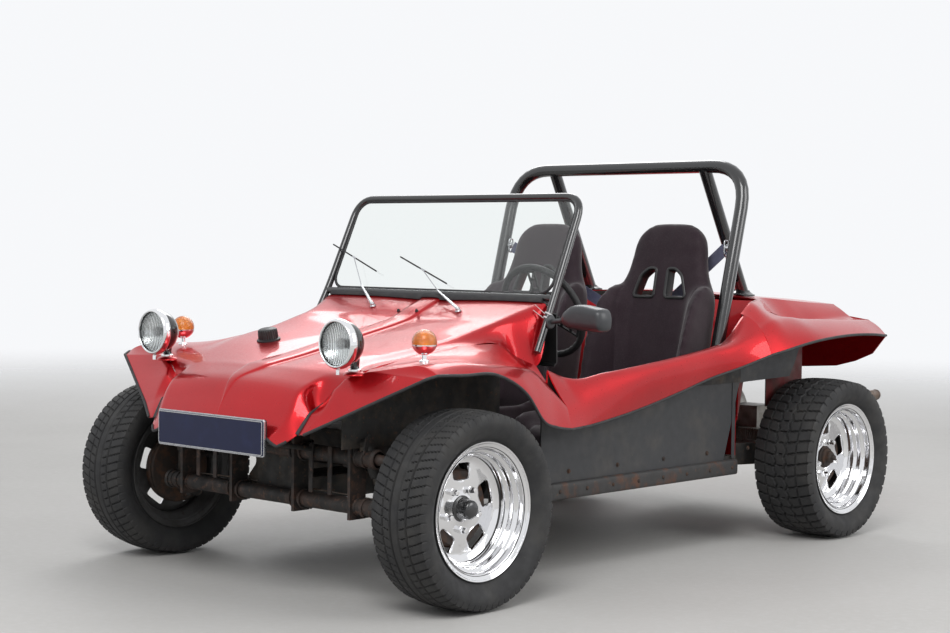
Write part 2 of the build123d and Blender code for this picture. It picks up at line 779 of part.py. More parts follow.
def tie_rod(outer_x, level):
    """A rod from a knuckle's arm to the pitman arm, where its eye sits some eye heights up."""
    low_eye = arm_low_z + arm_thickness + fit_gap
    pitch = rod_eye_height + fit_gap
    with BuildPart() as link:
        for x, base in ((outer_x, low_eye), (pitman_x, low_eye + level * pitch)):
            with Locations((x, at(steering_arm), base)):
                Cylinder(rod_eye_radius, rod_eye_height, align=(Align.CENTER, Align.CENTER, Align.MIN))
        rod((outer_x, at(steering_arm), low_eye + rod_eye_height / 2),
            (pitman_x, at(steering_arm), low_eye + level * pitch + rod_eye_height / 2), tie_rod_radius)
    return link.part


finish(tie_rod(kingpin_x, 0), "tie_rod_left")
finish(tie_rod(-kingpin_x, 1), "tie_rod_right")

# Dashboard: a folded panel behind the hood's back edge, bored for the column
dash_half = 520.0
dash_rows = [(cowl_row[0] + panel_gap, 882), (650, 866), (655, 700), (640, 690)]
with BuildPart() as dashboard:
    with BuildSketch(Plane.YZ):
        with BuildLine():
            face = [(cowl(y), z) for y, z in dash_rows]
            Polyline(*face, *reversed(inset(face, wall)), close=True)
        make_face()
    extrude(amount=dash_half, both=True)
    with BuildSketch(wheel_plane.offset(-jacket_length / 2)):
        Circle(jacket_radius + fit_gap)
    extrude(amount=-jacket_length, both=True, mode=Mode.SUBTRACT)
finish(dashboard.part, "dashboard")

# Pedals, gear lever and handbrake
tunnel_top = floor_z + tunnel_height + fit_gap
with BuildPart() as controls:
    pedal_foot = floor_z + floor_thickness + fit_gap
    for x, top_z in ((250, 400), (330, 400), (420, 385)):
        with BuildSketch(Plane.YZ.offset(x)):
            with BuildLine():
                Polyline((at(390), pedal_foot), (at(360), top_z - 60), (at(345), top_z),
                         (at(357), top_z), (at(374), top_z - 60), (at(408), pedal_foot), close=True)
            make_face()
        extrude(amount=50)
    with Locations((0, at(930), tunnel_top)):
        Cone(34, 12, 36, align=(Align.CENTER, Align.CENTER, Align.MIN))
    rod((0, at(930), tunnel_top + 20), (0, at(900), tunnel_top + 240), 6)
    with Locations((0, at(900), tunnel_top + 250)):
        Sphere(20)
    with Locations((0, at(1130), tunnel_top)):
        Box(40, 90, 24, align=(Align.CENTER, Align.CENTER, Align.MIN))
    rod((0, at(1130), tunnel_top + 14), (0, at(960), tunnel_top + 80), 9)
finish(controls.part, "controls")


# Headlight: a round bowl with a domed lens and a rim, on a stalk with a round foot
lens_spot = (443, -274, 790)
lens_radius = 70.0
bowl_radius = lens_radius + 2
bowl_start = 16.0  # behind the lens's edge
lamp_foot = (452, -208, 700.5)


def headlight():
    lens_x, lens_y, lens_z = lens_spot[0], at(lens_spot[1]), lens_spot[2]
    foot = Plane(origin=(lamp_foot[0], at(lamp_foot[1]), lamp_foot[2]))
    with BuildPart() as lamp:
        with BuildSketch(Plane(origin=(lens_x, lens_y, lens_z), x_dir=(0, 1, 0), z_dir=(1, 0, 0))):
            with BuildLine():
                dome = ThreePointArc((-12, 0), (-9, lens_radius / 2), (0, lens_radius))
                rim = Polyline(dome @ 1, (-4, lens_radius + 3), (4, lens_radius + 6),
                               (bowl_start, bowl_radius))
                bowl = CenterArc((bowl_start, 0), bowl_radius, 90, -90)
                Line(bowl @ 1, dome @ 0)
            make_face()
        revolve(axis=Axis((lens_x, lens_y, lens_z), (0, 1, 0)))
        with BuildSketch(foot):
            Circle(14)
        extrude(amount=10, taper=15)
        rod(foot.offset(5).origin, (lens_x, lens_y + 50, lens_z - lens_radius + 12), 9)
    return seated(lamp.part, hood.part, left_fender)


both_sides(headlight, "headlight")


# Indicator: a round lamp on a chrome stalk
indicator_radius = 39.0
indicator_spot = (580, -40, 795)


def indicator():
    foot = fender_spot(5, 0.98, 0.5)
    with BuildPart() as lamp:
        with Locations((foot.origin.X, foot.origin.Y, indicator_spot[2])):
            Sphere(indicator_radius)
        with BuildSketch(foot):
            Circle(15)
        extrude(amount=4)
        rod(foot.offset(2).origin, (foot.origin.X, foot.origin.Y, indicator_spot[2]), 7)
    return seated(lamp.part, left_fender)


both_sides(indicator, "indicator")

# Door mirror: a rounded housing on an arm from a pad against the windscreen's leg
mirror_spot = (728, 540, 860)
arm_y = 548.0
arm_z = 842.0
leg_share = (arm_z - screen_foot[2]) / (screen_low[2] - screen_foot[2])
leg_x = screen_foot[0] + leg_share * (screen_low[0] - screen_foot[0])
leg_y = screen_foot[1] + leg_share * (screen_low[1] - screen_foot[1])
pad_radius = 24.0
leg_lean = (screen_foot[0] - screen_low[0]) / (screen_low[2] - screen_foot[2])
pad_x = leg_x + screen_tube / 2 * hypot(1, leg_lean) + pad_radius * leg_lean + fit_gap
with BuildPart() as side_mirror:
    with Locations((mirror_spot[0], cowl(mirror_spot[1]), mirror_spot[2])):
        Box(176, 62, 88)
    fillet(side_mirror.edges().filter_by(Axis.Y), 24)
    fillet(side_mirror.faces().sort_by(Axis.Y)[0].edges(), 18)
    with BuildSketch(Plane.YZ.offset(pad_x)):
        with Locations((cowl(leg_y), arm_z)):
            Circle(pad_radius)
    extrude(amount=10)
    arm_end = (mirror_spot[0] - 70, cowl(mirror_spot[1] + 8), mirror_spot[2] - 6)
    rod((pad_x + 5, cowl(leg_y), arm_z), arm_end, 10)
finish(side_mirror.part, "side_mirror")


def ribbed_cap(plane, flange, radius, height, ribs):
    """A round cap with grip ribs on a flange, resting on a plane."""
    with BuildPart() as cap:
        with BuildSketch(plane):
            Circle(flange)
        extrude(amount=5)
        with BuildSketch(plane.offset(5)):
            Circle(radius)
            with PolarLocations(radius, ribs):
                Circle(2.5)
        extrude(amount=height)
    return cap.part


finish(ribbed_cap(resting_plane(hood_top, -250, 65, 40), 40, 33, 34, 18), "fuel_cap")
finish(ribbed_cap(resting_plane(deck_top, 250, 2050, 36), 36, 30, 16, 14), "deck_cap")

# Wipers: two pivots on the cowl, each with an arm up to a blade that lies in front of the glass. Pivot
# x, y; the blade's left and right end, each as x and its distance up the glass from the lower tube
wiper_rows = [(-207, 499, (-575, 176), (-301, 72)), (212, 493, (-202, 130), (65, 32))]
wiper_blade = 4.5
wiper_arm = 4.0
wiper_stand = screen_tube / 2 + wiper_blade + 4  # from the glass's middle to the blade's


def on_glass(x, up):
    """A point in front of the glass, at a distance up from the lower tube."""
    return pane_foot.from_local_coords(Vector(x, up, wiper_stand))


with BuildPart() as wipers:
    for pivot_x, pivot_y, left_end, right_end in wiper_rows:
        base = resting_plane(hood_top, pivot_x, pivot_y, 12)
        with BuildSketch(base):
            Circle(11)
        extrude(amount=14)
        left, right = on_glass(*left_end), on_glass(*right_end)
        rod(base.offset(10).origin, (left + right) / 2, wiper_arm)
        rod(left, right, wiper_blade)
finish(wipers.part, "wipers")

plate_size = (510.0, 16.7, 112.0)
with BuildPart() as number_plate:
    with Locations((0, at(nose_rows[0][0]) - fit_gap, 500)):
        Box(*plate_size, align=(Align.CENTER, Align.MAX, Align.CENTER))
finish(number_plate.part, "number_plate")

# Front beam: two cross tubes joined by four uprights
with BuildPart() as front_beam:
    with Locations(*[(0, at(beam_y), beam_low_z + level * beam_spacing) for level in (0, 1)]):
        Cylinder(beam_radius, 2 * beam_half, rotation=(0, 90, 0))
    upright_low, upright_high = beam_low_z - beam_radius - 14, beam_low_z + beam_spacing + 60
    for x in (beam_half - 65, 150):
        for sign in (-1, 1):
            with Locations((sign * x, at(beam_y), upright_low)):
                Box(upright_thickness, 2 * beam_radius + 16, upright_high - upright_low,
                    align=(Align.CENTER, Align.CENTER, Align.MIN))
finish(front_beam.part, "front_beam")


def front_arms():
    """Trailing arms from both beam tubes back to the kingpin."""
    with BuildPart() as arms:
        for level in (0, 1):
            eye_z = front_tyre_radius + (2 * level - 1) * (knuckle_height / 2 + fit_gap + eye_height / 2)
            tube_z = beam_low_z + level * beam_spacing
            bent_tube([(beam_half + fit_gap, at(beam_y), tube_z), (beam_half + 45, at(beam_y), tube_z),
                       (kingpin_x - 50, at(0), eye_z), (kingpin_x, at(0), eye_z)], arm_radius, 20)
            with Locations((kingpin_x, at(0), eye_z)):
                Cylinder(arm_radius + 4, eye_height)
            with Locations((beam_half + fit_gap, at(beam_y), tube_z)):
                Cylinder(beam_radius + 2, 16, rotation=(0, 90, 0),
                         align=(Align.CENTER, Align.CENTER, Align.MIN))
    return arms.part


both_sides(front_arms, "front_arms")


def hub_back(track, width):
    """X of the hub's inner face on the left wheel."""
    return track + width / 2 - disc_recess - 10


def knuckle():
    with BuildPart() as upright:
        with Locations((kingpin_x, at(0), front_tyre_radius)):
            Cylinder(kingpin_radius, knuckle_height)
            Cylinder(spindle_radius, hub_back(front_track_half, front_rim_width) - fit_gap - kingpin_x,
                     rotation=(0, 90, 0), align=(Align.CENTER, Align.CENTER, Align.MIN))
        link_arm(kingpin_x)
    return upright.part


both_sides(knuckle, "steering_knuckle")


def barrel_rows(width):
    """Outline of the rim's tyre side: distance along the axle and radius."""
    half = width / 2
    outboard = [(half, lip_radius), (half - 4, lip_radius), (half - 8, seat_radius), (half - 30, seat_radius),
                (half - 36, step_radius), (half - 56, step_radius), (half - 62, well_radius)]
    inboard = [(-half + 45, well_radius), (-half + 30, seat_radius), (-half + 8, seat_radius),
               (-half + 4, lip_radius), (-half, lip_radius)]
    return outboard + inboard


def rim(track, radius, width, y):
    """Deep dish wheel with a stepped barrel and five windows, and the brake drum behind its disc."""
    disc_x = width / 2 - disc_recess
    axis = Axis((track, y, radius), (1, 0, 0))
    upright = Plane(origin=(track, y, radius), x_dir=(1, 0, 0), z_dir=(0, -1, 0))
    face = Plane(origin=(track + disc_x, y, radius), x_dir=(0, 1, 0), z_dir=(1, 0, 0))
    with BuildPart() as wheel:
        with BuildSketch(upright):
            with BuildLine():
                outer = barrel_rows(width)
                Polyline(*outer, *reversed([(x, r - rim_wall) for x, r in outer]), close=True)
            make_face()
            with BuildLine():
                face_x = disc_x + disc_thickness / 2
                dish = [(face_x + 5, 0), (face_x, hub_radius), (face_x, window_outer + 4),
                        (face_x + 12, well_radius - rim_wall / 2)]
                Polyline(*dish, *reversed([(x - disc_thickness, r) for x, r in dish]), close=True)
            make_face()
        revolve(axis=axis)
        with BuildSketch(face):
            with PolarLocations((window_inner + window_outer) / 2, window_count, start_angle=18):
                Trapezoid(76, window_outer - window_inner, 66, rotation=-90)
        extrude(amount=disc_thickness, both=True, mode=Mode.SUBTRACT)
        with BuildSketch(face):
            Circle(hub_radius)
        extrude(amount=hub_length, taper=4)
        with BuildSketch(face):
            with PolarLocations(lug_circle, window_count, start_angle=54):
                RegularPolygon(lug_radius, 6)
        extrude(amount=lug_length)
        with BuildSketch(face.offset(-disc_thickness / 2 - fit_gap)):
            Circle(drum_radius)
            Circle(spindle_radius + fit_gap, mode=Mode.SUBTRACT)
        extrude(amount=-drum_width)
    return wheel.part


def tyre(track, radius, width, rim_width, y):
    """A tyre with bulged sidewalls and a nearly flat tread."""
    half, bead = width / 2, rim_width / 2 - 9
    low, high = seat_radius + fit_gap, radius
    bulge_radius = (low + high) / 2 + 6
    with BuildPart() as ring:
        with BuildSketch(Plane(origin=(track, y, radius), x_dir=(1, 0, 0), z_dir=(0, -1, 0))):
            with BuildLine():
                outside = []
                for sign in (1, -1):
                    flange = Line((sign * bead, low), (sign * (bead + 2), lip_radius + 4))
                    wall_arc = ThreePointArc(flange @ 1, (sign * half, bulge_radius),
                                             (sign * (half - 22), high - 9))
                    heel = Line((sign * (bead - bead_width), low), (sign * (bead - bead_width), lip_radius))
                    inner_arc = ThreePointArc(heel @ 1, (sign * (half - sidewall_thickness), bulge_radius),
                                              (sign * (half - 34), high - tread_thickness - 4))
                    Line(flange @ 0, heel @ 0)
                    outside.append((wall_arc @ 1, inner_arc @ 1))
                ThreePointArc(outside[0][0], (0, high), outside[1][0])
                ThreePointArc(outside[0][1], (0, high - tread_thickness), outside[1][1])
            make_face()
        revolve(axis=Axis((track, y, radius), (1, 0, 0)))
    return ring.part


rear_axle = at(drawn_wheelbase)
front_wheel = (front_track_half, front_tyre_radius)
rear_wheel = (rear_track_half, rear_tyre_radius)
both_sides(lambda: rim(*front_wheel, front_rim_width, at(0)), "front_rim")
both_sides(lambda: rim(*rear_wheel, rear_rim_width, rear_axle), "rear_rim")
both_sides(lambda: tyre(*front_wheel, front_tyre_width, front_rim_width, at(0)), "front_tyre")
both_sides(lambda: tyre(*rear_wheel, rear_tyre_width, rear_rim_width, rear_axle), "rear_tyre")

# Rear running gear: gearbox with its axle tubes, and the arms that hold them
with BuildPart() as transaxle:
    with BuildSketch(Plane(origin=(0, 0, rear_tyre_radius), x_dir=(0, 1, 0), z_dir=(1, 0, 0))):
        with BuildLine():
            nose, back = at(gearbox_front), at(gearbox_back)
            Polyline((nose, 0), (nose, gearbox_nose), (rear_axle - gearbox_bell, gearbox_nose + 12),
                     (back - 40, gearbox_bell), (back, gearbox_bell), (back, 0), close=True)
        make_face()
    revolve(axis=Axis((0, 0, rear_tyre_radius), (0, 1, 0)))
    with Locations((0, rear_axle, rear_tyre_radius)):
        Cylinder(gearbox_bell * 0.8, 2 * gearbox_bell * 0.9, rotation=(0, 90, 0))
        Cylinder(axle_tube_radius, 2 * (rear_arm_x + 70), rotation=(0, 90, 0))
        spindle_end = hub_back(rear_track_half, rear_rim_width) - fit_gap
        Cylinder(spindle_radius, 2 * spindle_end, rotation=(0, 90, 0))
finish(transaxle.part, "transaxle")


def rear_arm():
    with BuildPart() as arm:
        with BuildSketch(Plane.YZ.offset(rear_arm_x)):
            with BuildLine():
                back = rear_axle - axle_tube_radius - fit_gap
                front = at(torsion_y) - 50
                Polyline((front, 285), (front, 365), (back, 345), (back, 265), close=True)
            make_face()
        extrude(amount=rear_arm_thickness)
    return arm.part


both_sides(rear_arm, "rear_arm")

# Engine: crankcase, two flat cylinder banks, a round-topped fan housing and the crankshaft's pulley
engine_front = at(gearbox_back) + fit_gap
crank_z = 300.0
crankcase_length = 300.0
bank_z = 310.0
bank_width = 700.0
bank_height = 110.0
fan_z = 410.0
fan_radius = 150.0
pulley_radius = 70.0
pulley_width = 26.0
with BuildPart() as engine:
    with Locations((0, engine_front, crank_z)):
        Box(240, crankcase_length, 190, align=(Align.CENTER, Align.MIN, Align.CENTER))
    with Locations((0, engine_front + 40, bank_z)):
        Box(bank_width, 250, bank_height, align=(Align.CENTER, Align.MIN, Align.CENTER))
    with BuildSketch(across(engine_front + 60)):
        with Locations((0, fan_z)):
            Circle(fan_radius)
            Rectangle(bank_width * 0.8, 90)
    extrude(amount=-130)
    with BuildSketch(across(engine_front + crankcase_length)):
        with Locations((0, crank_z - 10)):
            Circle(pulley_radius)
    extrude(amount=-pulley_width)
finish(engine.part, "engine")

# Exhaust: a silencer across the back, a pipe forward to each bank and one tail pipe
pipe_radius = 20.0
muffler_y = engine_front + crankcase_length + pulley_width + 40
muffler_z = 250.0
pipe_z = bank_z - bank_height / 2 - pipe_radius - fit_gap
tail_bend = (586.0, muffler_y + 33.7, 500.0)
tail_length = 73.0
with BuildPart() as exhaust:
    with Locations((0, muffler_y, muffler_z)):
        Cylinder(34, 520, rotation=(0, 90, 0))
    for sign in (-1, 1):
        bent_tube([(sign * 240, muffler_y, pipe_z), (sign * 320, muffler_y, pipe_z),
                   (sign * 320, engine_front + 220, pipe_z)], pipe_radius, 30)
    bent_tube([(200, muffler_y, muffler_z + 12), (450, muffler_y, muffler_z + 12), tail_bend,
               (tail_bend[0], tail_bend[1] + tail_length, tail_bend[2])], pipe_radius, 30)
finish(exhaust.part, "exhaust")
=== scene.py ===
import json
import bmesh
import bpy
import numpy as np
from mathutils import Matrix, Vector
from mathutils.bvhtree import BVHTree

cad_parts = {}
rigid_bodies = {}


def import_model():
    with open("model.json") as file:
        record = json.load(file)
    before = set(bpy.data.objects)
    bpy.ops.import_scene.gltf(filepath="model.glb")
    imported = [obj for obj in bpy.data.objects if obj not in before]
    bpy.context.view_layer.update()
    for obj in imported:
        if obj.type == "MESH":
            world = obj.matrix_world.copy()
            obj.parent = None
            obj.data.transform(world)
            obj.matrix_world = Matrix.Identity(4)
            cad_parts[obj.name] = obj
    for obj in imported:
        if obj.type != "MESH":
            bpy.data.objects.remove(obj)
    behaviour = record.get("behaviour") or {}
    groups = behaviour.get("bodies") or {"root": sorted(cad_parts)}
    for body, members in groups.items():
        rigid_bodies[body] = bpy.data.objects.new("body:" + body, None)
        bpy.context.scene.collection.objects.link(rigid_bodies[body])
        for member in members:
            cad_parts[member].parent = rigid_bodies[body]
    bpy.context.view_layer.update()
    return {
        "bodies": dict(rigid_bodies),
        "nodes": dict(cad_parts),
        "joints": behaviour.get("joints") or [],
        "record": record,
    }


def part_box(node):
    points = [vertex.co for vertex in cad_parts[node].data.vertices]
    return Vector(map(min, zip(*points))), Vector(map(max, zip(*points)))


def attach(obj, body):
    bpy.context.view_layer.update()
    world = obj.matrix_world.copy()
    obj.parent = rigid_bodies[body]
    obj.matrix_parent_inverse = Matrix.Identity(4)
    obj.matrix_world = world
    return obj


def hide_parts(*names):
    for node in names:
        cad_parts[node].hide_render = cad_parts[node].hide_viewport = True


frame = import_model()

axleStation = 1110.0  # millimetres from the frame's origin forward to the front axle

# Every shape below is worked out in millimetres with y as the station behind the front axle.
# inFrame turns such points into metres in the shared frame.


# (x, y, z) -> (x, y - axleStation, z) / 1000
def inFrame(points):
    return (np.asarray(points, float) - (0, axleStation, 0)) * 0.001


# materials


# each input linked to a socket or set to a value
def setInputs(tree, node, inputs):
    for key, value in inputs.items():
        if isinstance(value, bpy.types.NodeSocket):
            tree.links.new(value, node.inputs[key])
        else:
            node.inputs[key].default_value = value


# a new node with its settings and inputs
def addNode(tree, kind, inputs=None, **settings):
    node = tree.nodes.new(kind)
    for key, value in settings.items():
        setattr(node, key, value)
    setInputs(tree, node, inputs or {})
    return node


# the colour with full alpha
def rgba(color):
    return (*color, 1.0)


mixSockets = {"from": 6, "to": 7, "result": 2}  # where a colour Mix node has its colours


# principled finish: colour = base blended with each tint where its noise passes a band,
# roughness = low..high over a noise, height = sum of the bump layers
def finish(name, color, roughness=(0.4, 0.5), tints=(), bumps=(), roughScale=30.0, **sockets):
    material = bpy.data.materials.new(name)
    material.use_nodes = True
    tree = material.node_tree
    place = addNode(tree, "ShaderNodeTexCoord").outputs["Object"]
    mixed, rough, wanted = rgba(color), roughness[0], {}
    for scale, band, tint in tints:
        noise = addNode(tree, "ShaderNodeTexNoise", {"Vector": place, "Scale": scale, "Detail": 6.0,
                                                     "Roughness": 0.6})
        level = addNode(tree, "ShaderNodeMapRange", {"Value": noise.outputs["Fac"], "From Min": band[0],
                                                     "From Max": band[1]})
        blend = addNode(tree, "ShaderNodeMix", {"Factor": level.outputs["Result"], mixSockets["from"]: mixed,
                                                mixSockets["to"]: rgba(tint)}, data_type="RGBA")
        mixed = blend.outputs[mixSockets["result"]]
    if roughness[0] != roughness[1]:
        grain = addNode(tree, "ShaderNodeTexNoise", {"Vector": place, "Scale": roughScale, "Detail": 5.0})
        span = addNode(tree, "ShaderNodeMapRange", {"Value": grain.outputs["Fac"], "From Min": 0.3,
                                                    "From Max": 0.7, "To Min": roughness[0],
                                                    "To Max": roughness[1]})
        rough = span.outputs["Result"]
    for kind, scale, strength, depth in bumps:
        if kind == "noise":
            height = addNode(tree, "ShaderNodeTexNoise", {"Vector": place, "Scale": scale,
                                                          "Detail": 4.0}).outputs["Fac"]
        elif kind == "cells":
            cells = addNode(tree, "ShaderNodeTexVoronoi", {"Vector": place, "Scale": scale})
            height = cells.outputs["Distance"]
        else:
            height = addNode(tree, "ShaderNodeTexWave", {"Vector": place, "Scale": scale, "Distortion": 0.6,
                                                         "Detail": 2.0}, bands_direction=kind).outputs["Fac"]
        wanted["Normal"] = addNode(tree, "ShaderNodeBump", {"Strength": strength, "Distance": depth,
                                                            "Height": height, **wanted}).outputs["Normal"]
    wanted |= {"Base Color": mixed, "Roughness": rough}
    wanted |= {socketNames[key]: value for key, value in sockets.items()}
    setInputs(tree, tree.nodes["Principled BSDF"], wanted)
    return material


socketNames = {"metal": "Metallic", "coat": "Coat Weight", "coatRough": "Coat Roughness", "sheen": "Sheen Weight",
               "sheenRough": "Sheen Roughness", "through": "Transmission Weight", "ior": "IOR",
               "specular": "Specular IOR Level"}

redPaint = finish("redPaint", (0.52, 0.008, 0.013), (0.27, 0.36), metal=0.72, coat=0.48, coatRough=0.05,
                  specular=0.3, tints=[(3.0, (0.42, 0.75), (0.43, 0.006, 0.011))],
                  bumps=[("noise", 26.0, 0.015, 0.002)], roughScale=140.0)
# darker red standing in for the shade on the wheel-arch wall under the rear fender: painted shade, with dust tints
# over it
dustyRed = finish("dustyRed", (0.13, 0.010, 0.011), (0.45, 0.7),
                  tints=[(12.0, (0.45, 0.72), (0.07, 0.028, 0.022)), (60.0, (0.6, 0.8), (0.13, 0.08, 0.055))],
                  bumps=[("noise", 160.0, 0.2, 0.0008)])
trimRubber = finish("trimRubber", (0.022, 0.022, 0.024), (0.5, 0.68),
                    tints=[(40.0, (0.5, 0.8), (0.05, 0.048, 0.045))], bumps=[("noise", 300.0, 0.15, 0.0006)])
glossBlack = finish("glossBlack", (0.012, 0.012, 0.013), (0.16, 0.26), coat=0.8, coatRough=0.06,
                    tints=[(60.0, (0.6, 0.85), (0.03, 0.028, 0.026))], bumps=[("noise", 120.0, 0.05, 0.0006)])
satinBlack = finish("satinBlack", (0.018, 0.018, 0.019), (0.35, 0.5),
                    tints=[(25.0, (0.55, 0.85), (0.045, 0.042, 0.038))], bumps=[("noise", 420.0, 0.12, 0.0004)])
sheetGrey = finish("sheetGrey", (0.040, 0.041, 0.044), (0.5, 0.66),
                   tints=[(9.0, (0.5, 0.8), (0.07, 0.065, 0.06)), (70.0, (0.68, 0.8), (0.12, 0.10, 0.08))],
                   bumps=[("noise", 60.0, 0.12, 0.001), ("noise", 500.0, 0.1, 0.0003)])
dustyBlack = finish("dustyBlack", (0.020, 0.019, 0.018), (0.55, 0.8),
                    tints=[(14.0, (0.45, 0.75), (0.085, 0.066, 0.05)), (60.0, (0.6, 0.75), (0.16, 0.075, 0.035))],
                    bumps=[("noise", 160.0, 0.25, 0.0008)])
rustyBeam = finish("rustyBeam", (0.016, 0.014, 0.013), (0.55, 0.85),
                   tints=[(11.0, (0.45, 0.65), (0.055, 0.032, 0.024)), (55.0, (0.55, 0.7), (0.10, 0.052, 0.034)),
                          (7.0, (0.62, 0.85), (0.12, 0.10, 0.085))],
                   bumps=[("noise", 220.0, 0.35, 0.0012), ("cells", 120.0, 0.15, 0.0008)])
brakeIron = finish("brakeIron", (0.04, 0.03, 0.025), (0.6, 0.9), metal=0.3,
                   tints=[(30.0, (0.45, 0.65), (0.10, 0.052, 0.032)), (90.0, (0.6, 0.75), (0.02, 0.016, 0.015))],
                   bumps=[("noise", 260.0, 0.3, 0.001)])
polished = finish("polished", (0.80, 0.80, 0.81), (0.05, 0.12), metal=1.0,
                  tints=[(22.0, (0.62, 0.85), (0.55, 0.54, 0.52))], bumps=[("noise", 35.0, 0.02, 0.001)],
                  roughScale=25.0)
chrome = finish("chrome", (0.86, 0.86, 0.87), (0.03, 0.06), metal=1.0, bumps=[("noise", 50.0, 0.01, 0.0005)])
castAlloy = finish("castAlloy", (0.34, 0.33, 0.31), (0.42, 0.62), metal=0.85,
                   tints=[(12.0, (0.45, 0.7), (0.16, 0.14, 0.12)), (80.0, (0.6, 0.8), (0.10, 0.07, 0.05))],
                   bumps=[("noise", 240.0, 0.25, 0.0008)])
pipeSteel = finish("pipeSteel", (0.22, 0.19, 0.17), (0.4, 0.65), metal=0.8,
                   tints=[(10.0, (0.45, 0.65), (0.17, 0.10, 0.06)), (50.0, (0.55, 0.75), (0.30, 0.26, 0.22))],
                   bumps=[("noise", 180.0, 0.2, 0.0008)])
tyreRubber = finish("tyreRubber", (0.021, 0.021, 0.022), (0.62, 0.82),
                    tints=[(8.0, (0.45, 0.8), (0.045, 0.043, 0.040)), (120.0, (0.62, 0.85), (0.075, 0.068, 0.06))],
                    bumps=[("noise", 500.0, 0.25, 0.0004)])
seatHide = finish("seatHide", (0.020, 0.010, 0.015), (0.62, 0.8), sheen=0.35, sheenRough=0.45, specular=0.25,
                  tints=[(5.0, (0.4, 0.8), (0.034, 0.019, 0.026)), (260.0, (0.5, 0.75), (0.045, 0.026, 0.034))],
                  bumps=[("cells", 520.0, 0.35, 0.0005), ("noise", 11.0, 0.22, 0.003)])
lensGlass = finish("lensGlass", (0.97, 0.99, 0.985), (0.03, 0.03), through=1.0, ior=1.45,
                   bumps=[("X", 42.0, 0.5, 0.0016)])
paneGlass = finish("paneGlass", (0.93, 0.96, 0.94), (0.0, 0.0), through=1.0, ior=1.45)
amberLens = finish("amberLens", (0.95, 0.27, 0.015), (0.08, 0.08), through=0.55, ior=1.46, coat=0.6,
                   tints=[(300.0, (0.4, 0.7), (0.98, 0.38, 0.03))], bumps=[("Z", 95.0, 0.5, 0.002)])
plateBlue = finish("plateBlue", (0.005, 0.009, 0.046), (0.3, 0.42), coat=0.15, coatRough=0.1, specular=0.3,
                   tints=[(20.0, (0.5, 0.8), (0.010, 0.016, 0.068))], bumps=[("noise", 260.0, 0.04, 0.0005)])
plateSilver = finish("plateSilver", (0.55, 0.56, 0.58), (0.2, 0.35), metal=0.9,
                     tints=[(40.0, (0.5, 0.8), (0.42, 0.42, 0.43))], bumps=[("noise", 200.0, 0.06, 0.0005)])
lampSilver = finish("lampSilver", (0.93, 0.94, 0.95), (0.16, 0.24), metal=0.75,
                    tints=[(45.0, (0.55, 0.8), (0.80, 0.82, 0.84))], bumps=[("X", 60.0, 0.3, 0.001)])
mirrorFace = finish("mirrorFace", (0.9, 0.92, 0.93), (0.01, 0.02), metal=1.0,
                    bumps=[("noise", 8.0, 0.01, 0.001)])
beltWeb = finish("beltWeb", (0.12, 0.13, 0.23), (0.7, 0.85), sheen=0.3,
                 tints=[(60.0, (0.4, 0.7), (0.17, 0.18, 0.29))], bumps=[("Z", 260.0, 0.5, 0.0008)])
sillMetal = finish("sillMetal", (0.035, 0.034, 0.034), (0.5, 0.75),
                   tints=[(16.0, (0.52, 0.7), (0.10, 0.042, 0.022)), (70.0, (0.62, 0.8), (0.16, 0.075, 0.035)),
                          (5.0, (0.6, 0.85), (0.06, 0.058, 0.055))], bumps=[("noise", 180.0, 0.3, 0.0008)])
gripBlack = finish("gripBlack", (0.016, 0.016, 0.017), (0.5, 0.68),
                   tints=[(80.0, (0.5, 0.8), (0.03, 0.029, 0.028))], bumps=[("cells", 380.0, 0.25, 0.0005)])
moldedGrey = finish("moldedGrey", (0.030, 0.032, 0.036), (0.34, 0.48), coat=0.2, coatRough=0.3,
                    tints=[(30.0, (0.5, 0.8), (0.045, 0.046, 0.05))], bumps=[("noise", 520.0, 0.12, 0.0003)])
dullAlloy = finish("dullAlloy", (0.10, 0.10, 0.10), (0.45, 0.65), metal=0.7,
                   tints=[(9.0, (0.45, 0.7), (0.045, 0.042, 0.04)), (60.0, (0.6, 0.8), (0.07, 0.05, 0.04))],
                   bumps=[("noise", 160.0, 0.15, 0.0006)])
whiteClip = finish("whiteClip", (0.72, 0.73, 0.74), (0.3, 0.45), tints=[(50.0, (0.5, 0.8), (0.55, 0.55, 0.55))],
                   bumps=[("noise", 200.0, 0.08, 0.0004)])
print("materials made")

# mesh helpers


# quads of a grid: cell (i, j) joins its four corners, wrapping where a direction is closed
def gridQuads(rows, cols, closeRows=False, closeCols=False):
    i, j = np.meshgrid(np.arange(rows if closeRows else rows - 1), np.arange(cols if closeCols else cols - 1),
                       indexing="ij")
    far, side = (i + 1) % rows, (j + 1) % cols
    return np.stack([i * cols + j, far * cols + j, far * cols + side, i * cols + side], -1).reshape(-1, 4)


# six times the volume that the faces close, by fans from each first corner
def signedVolume(points, faces):
    total = 0.0
    centre = points.mean(0)
    for block in faces:
        corners = points[block] - centre
        for k in range(1, block.shape[1] - 1):
            total += np.einsum("ij,ij->", corners[:, 0], np.cross(corners[:, k], corners[:, k + 1]))
    return total


# the shell with its faces turned outwards
def closedShell(points, faces):
    if signedVolume(points, faces) < 0:
        faces = [block[:, ::-1] for block in faces]
    return points, faces


# several shells as one: points stacked, face numbers shifted
def together(*shells):
    points, faces, count = [], [], 0
    for shellPoints, shellFaces in shells:
        points.append(shellPoints)
        faces += [block + count for block in shellFaces]
        count += len(shellPoints)
    return np.concatenate(points), faces


# the shell mirrored across the centre plane, x -> -x, its faces turned back outwards
def mirrored(shell):
    points, faces = shell
    return points * (-1, 1, 1), [block[:, ::-1] for block in faces]


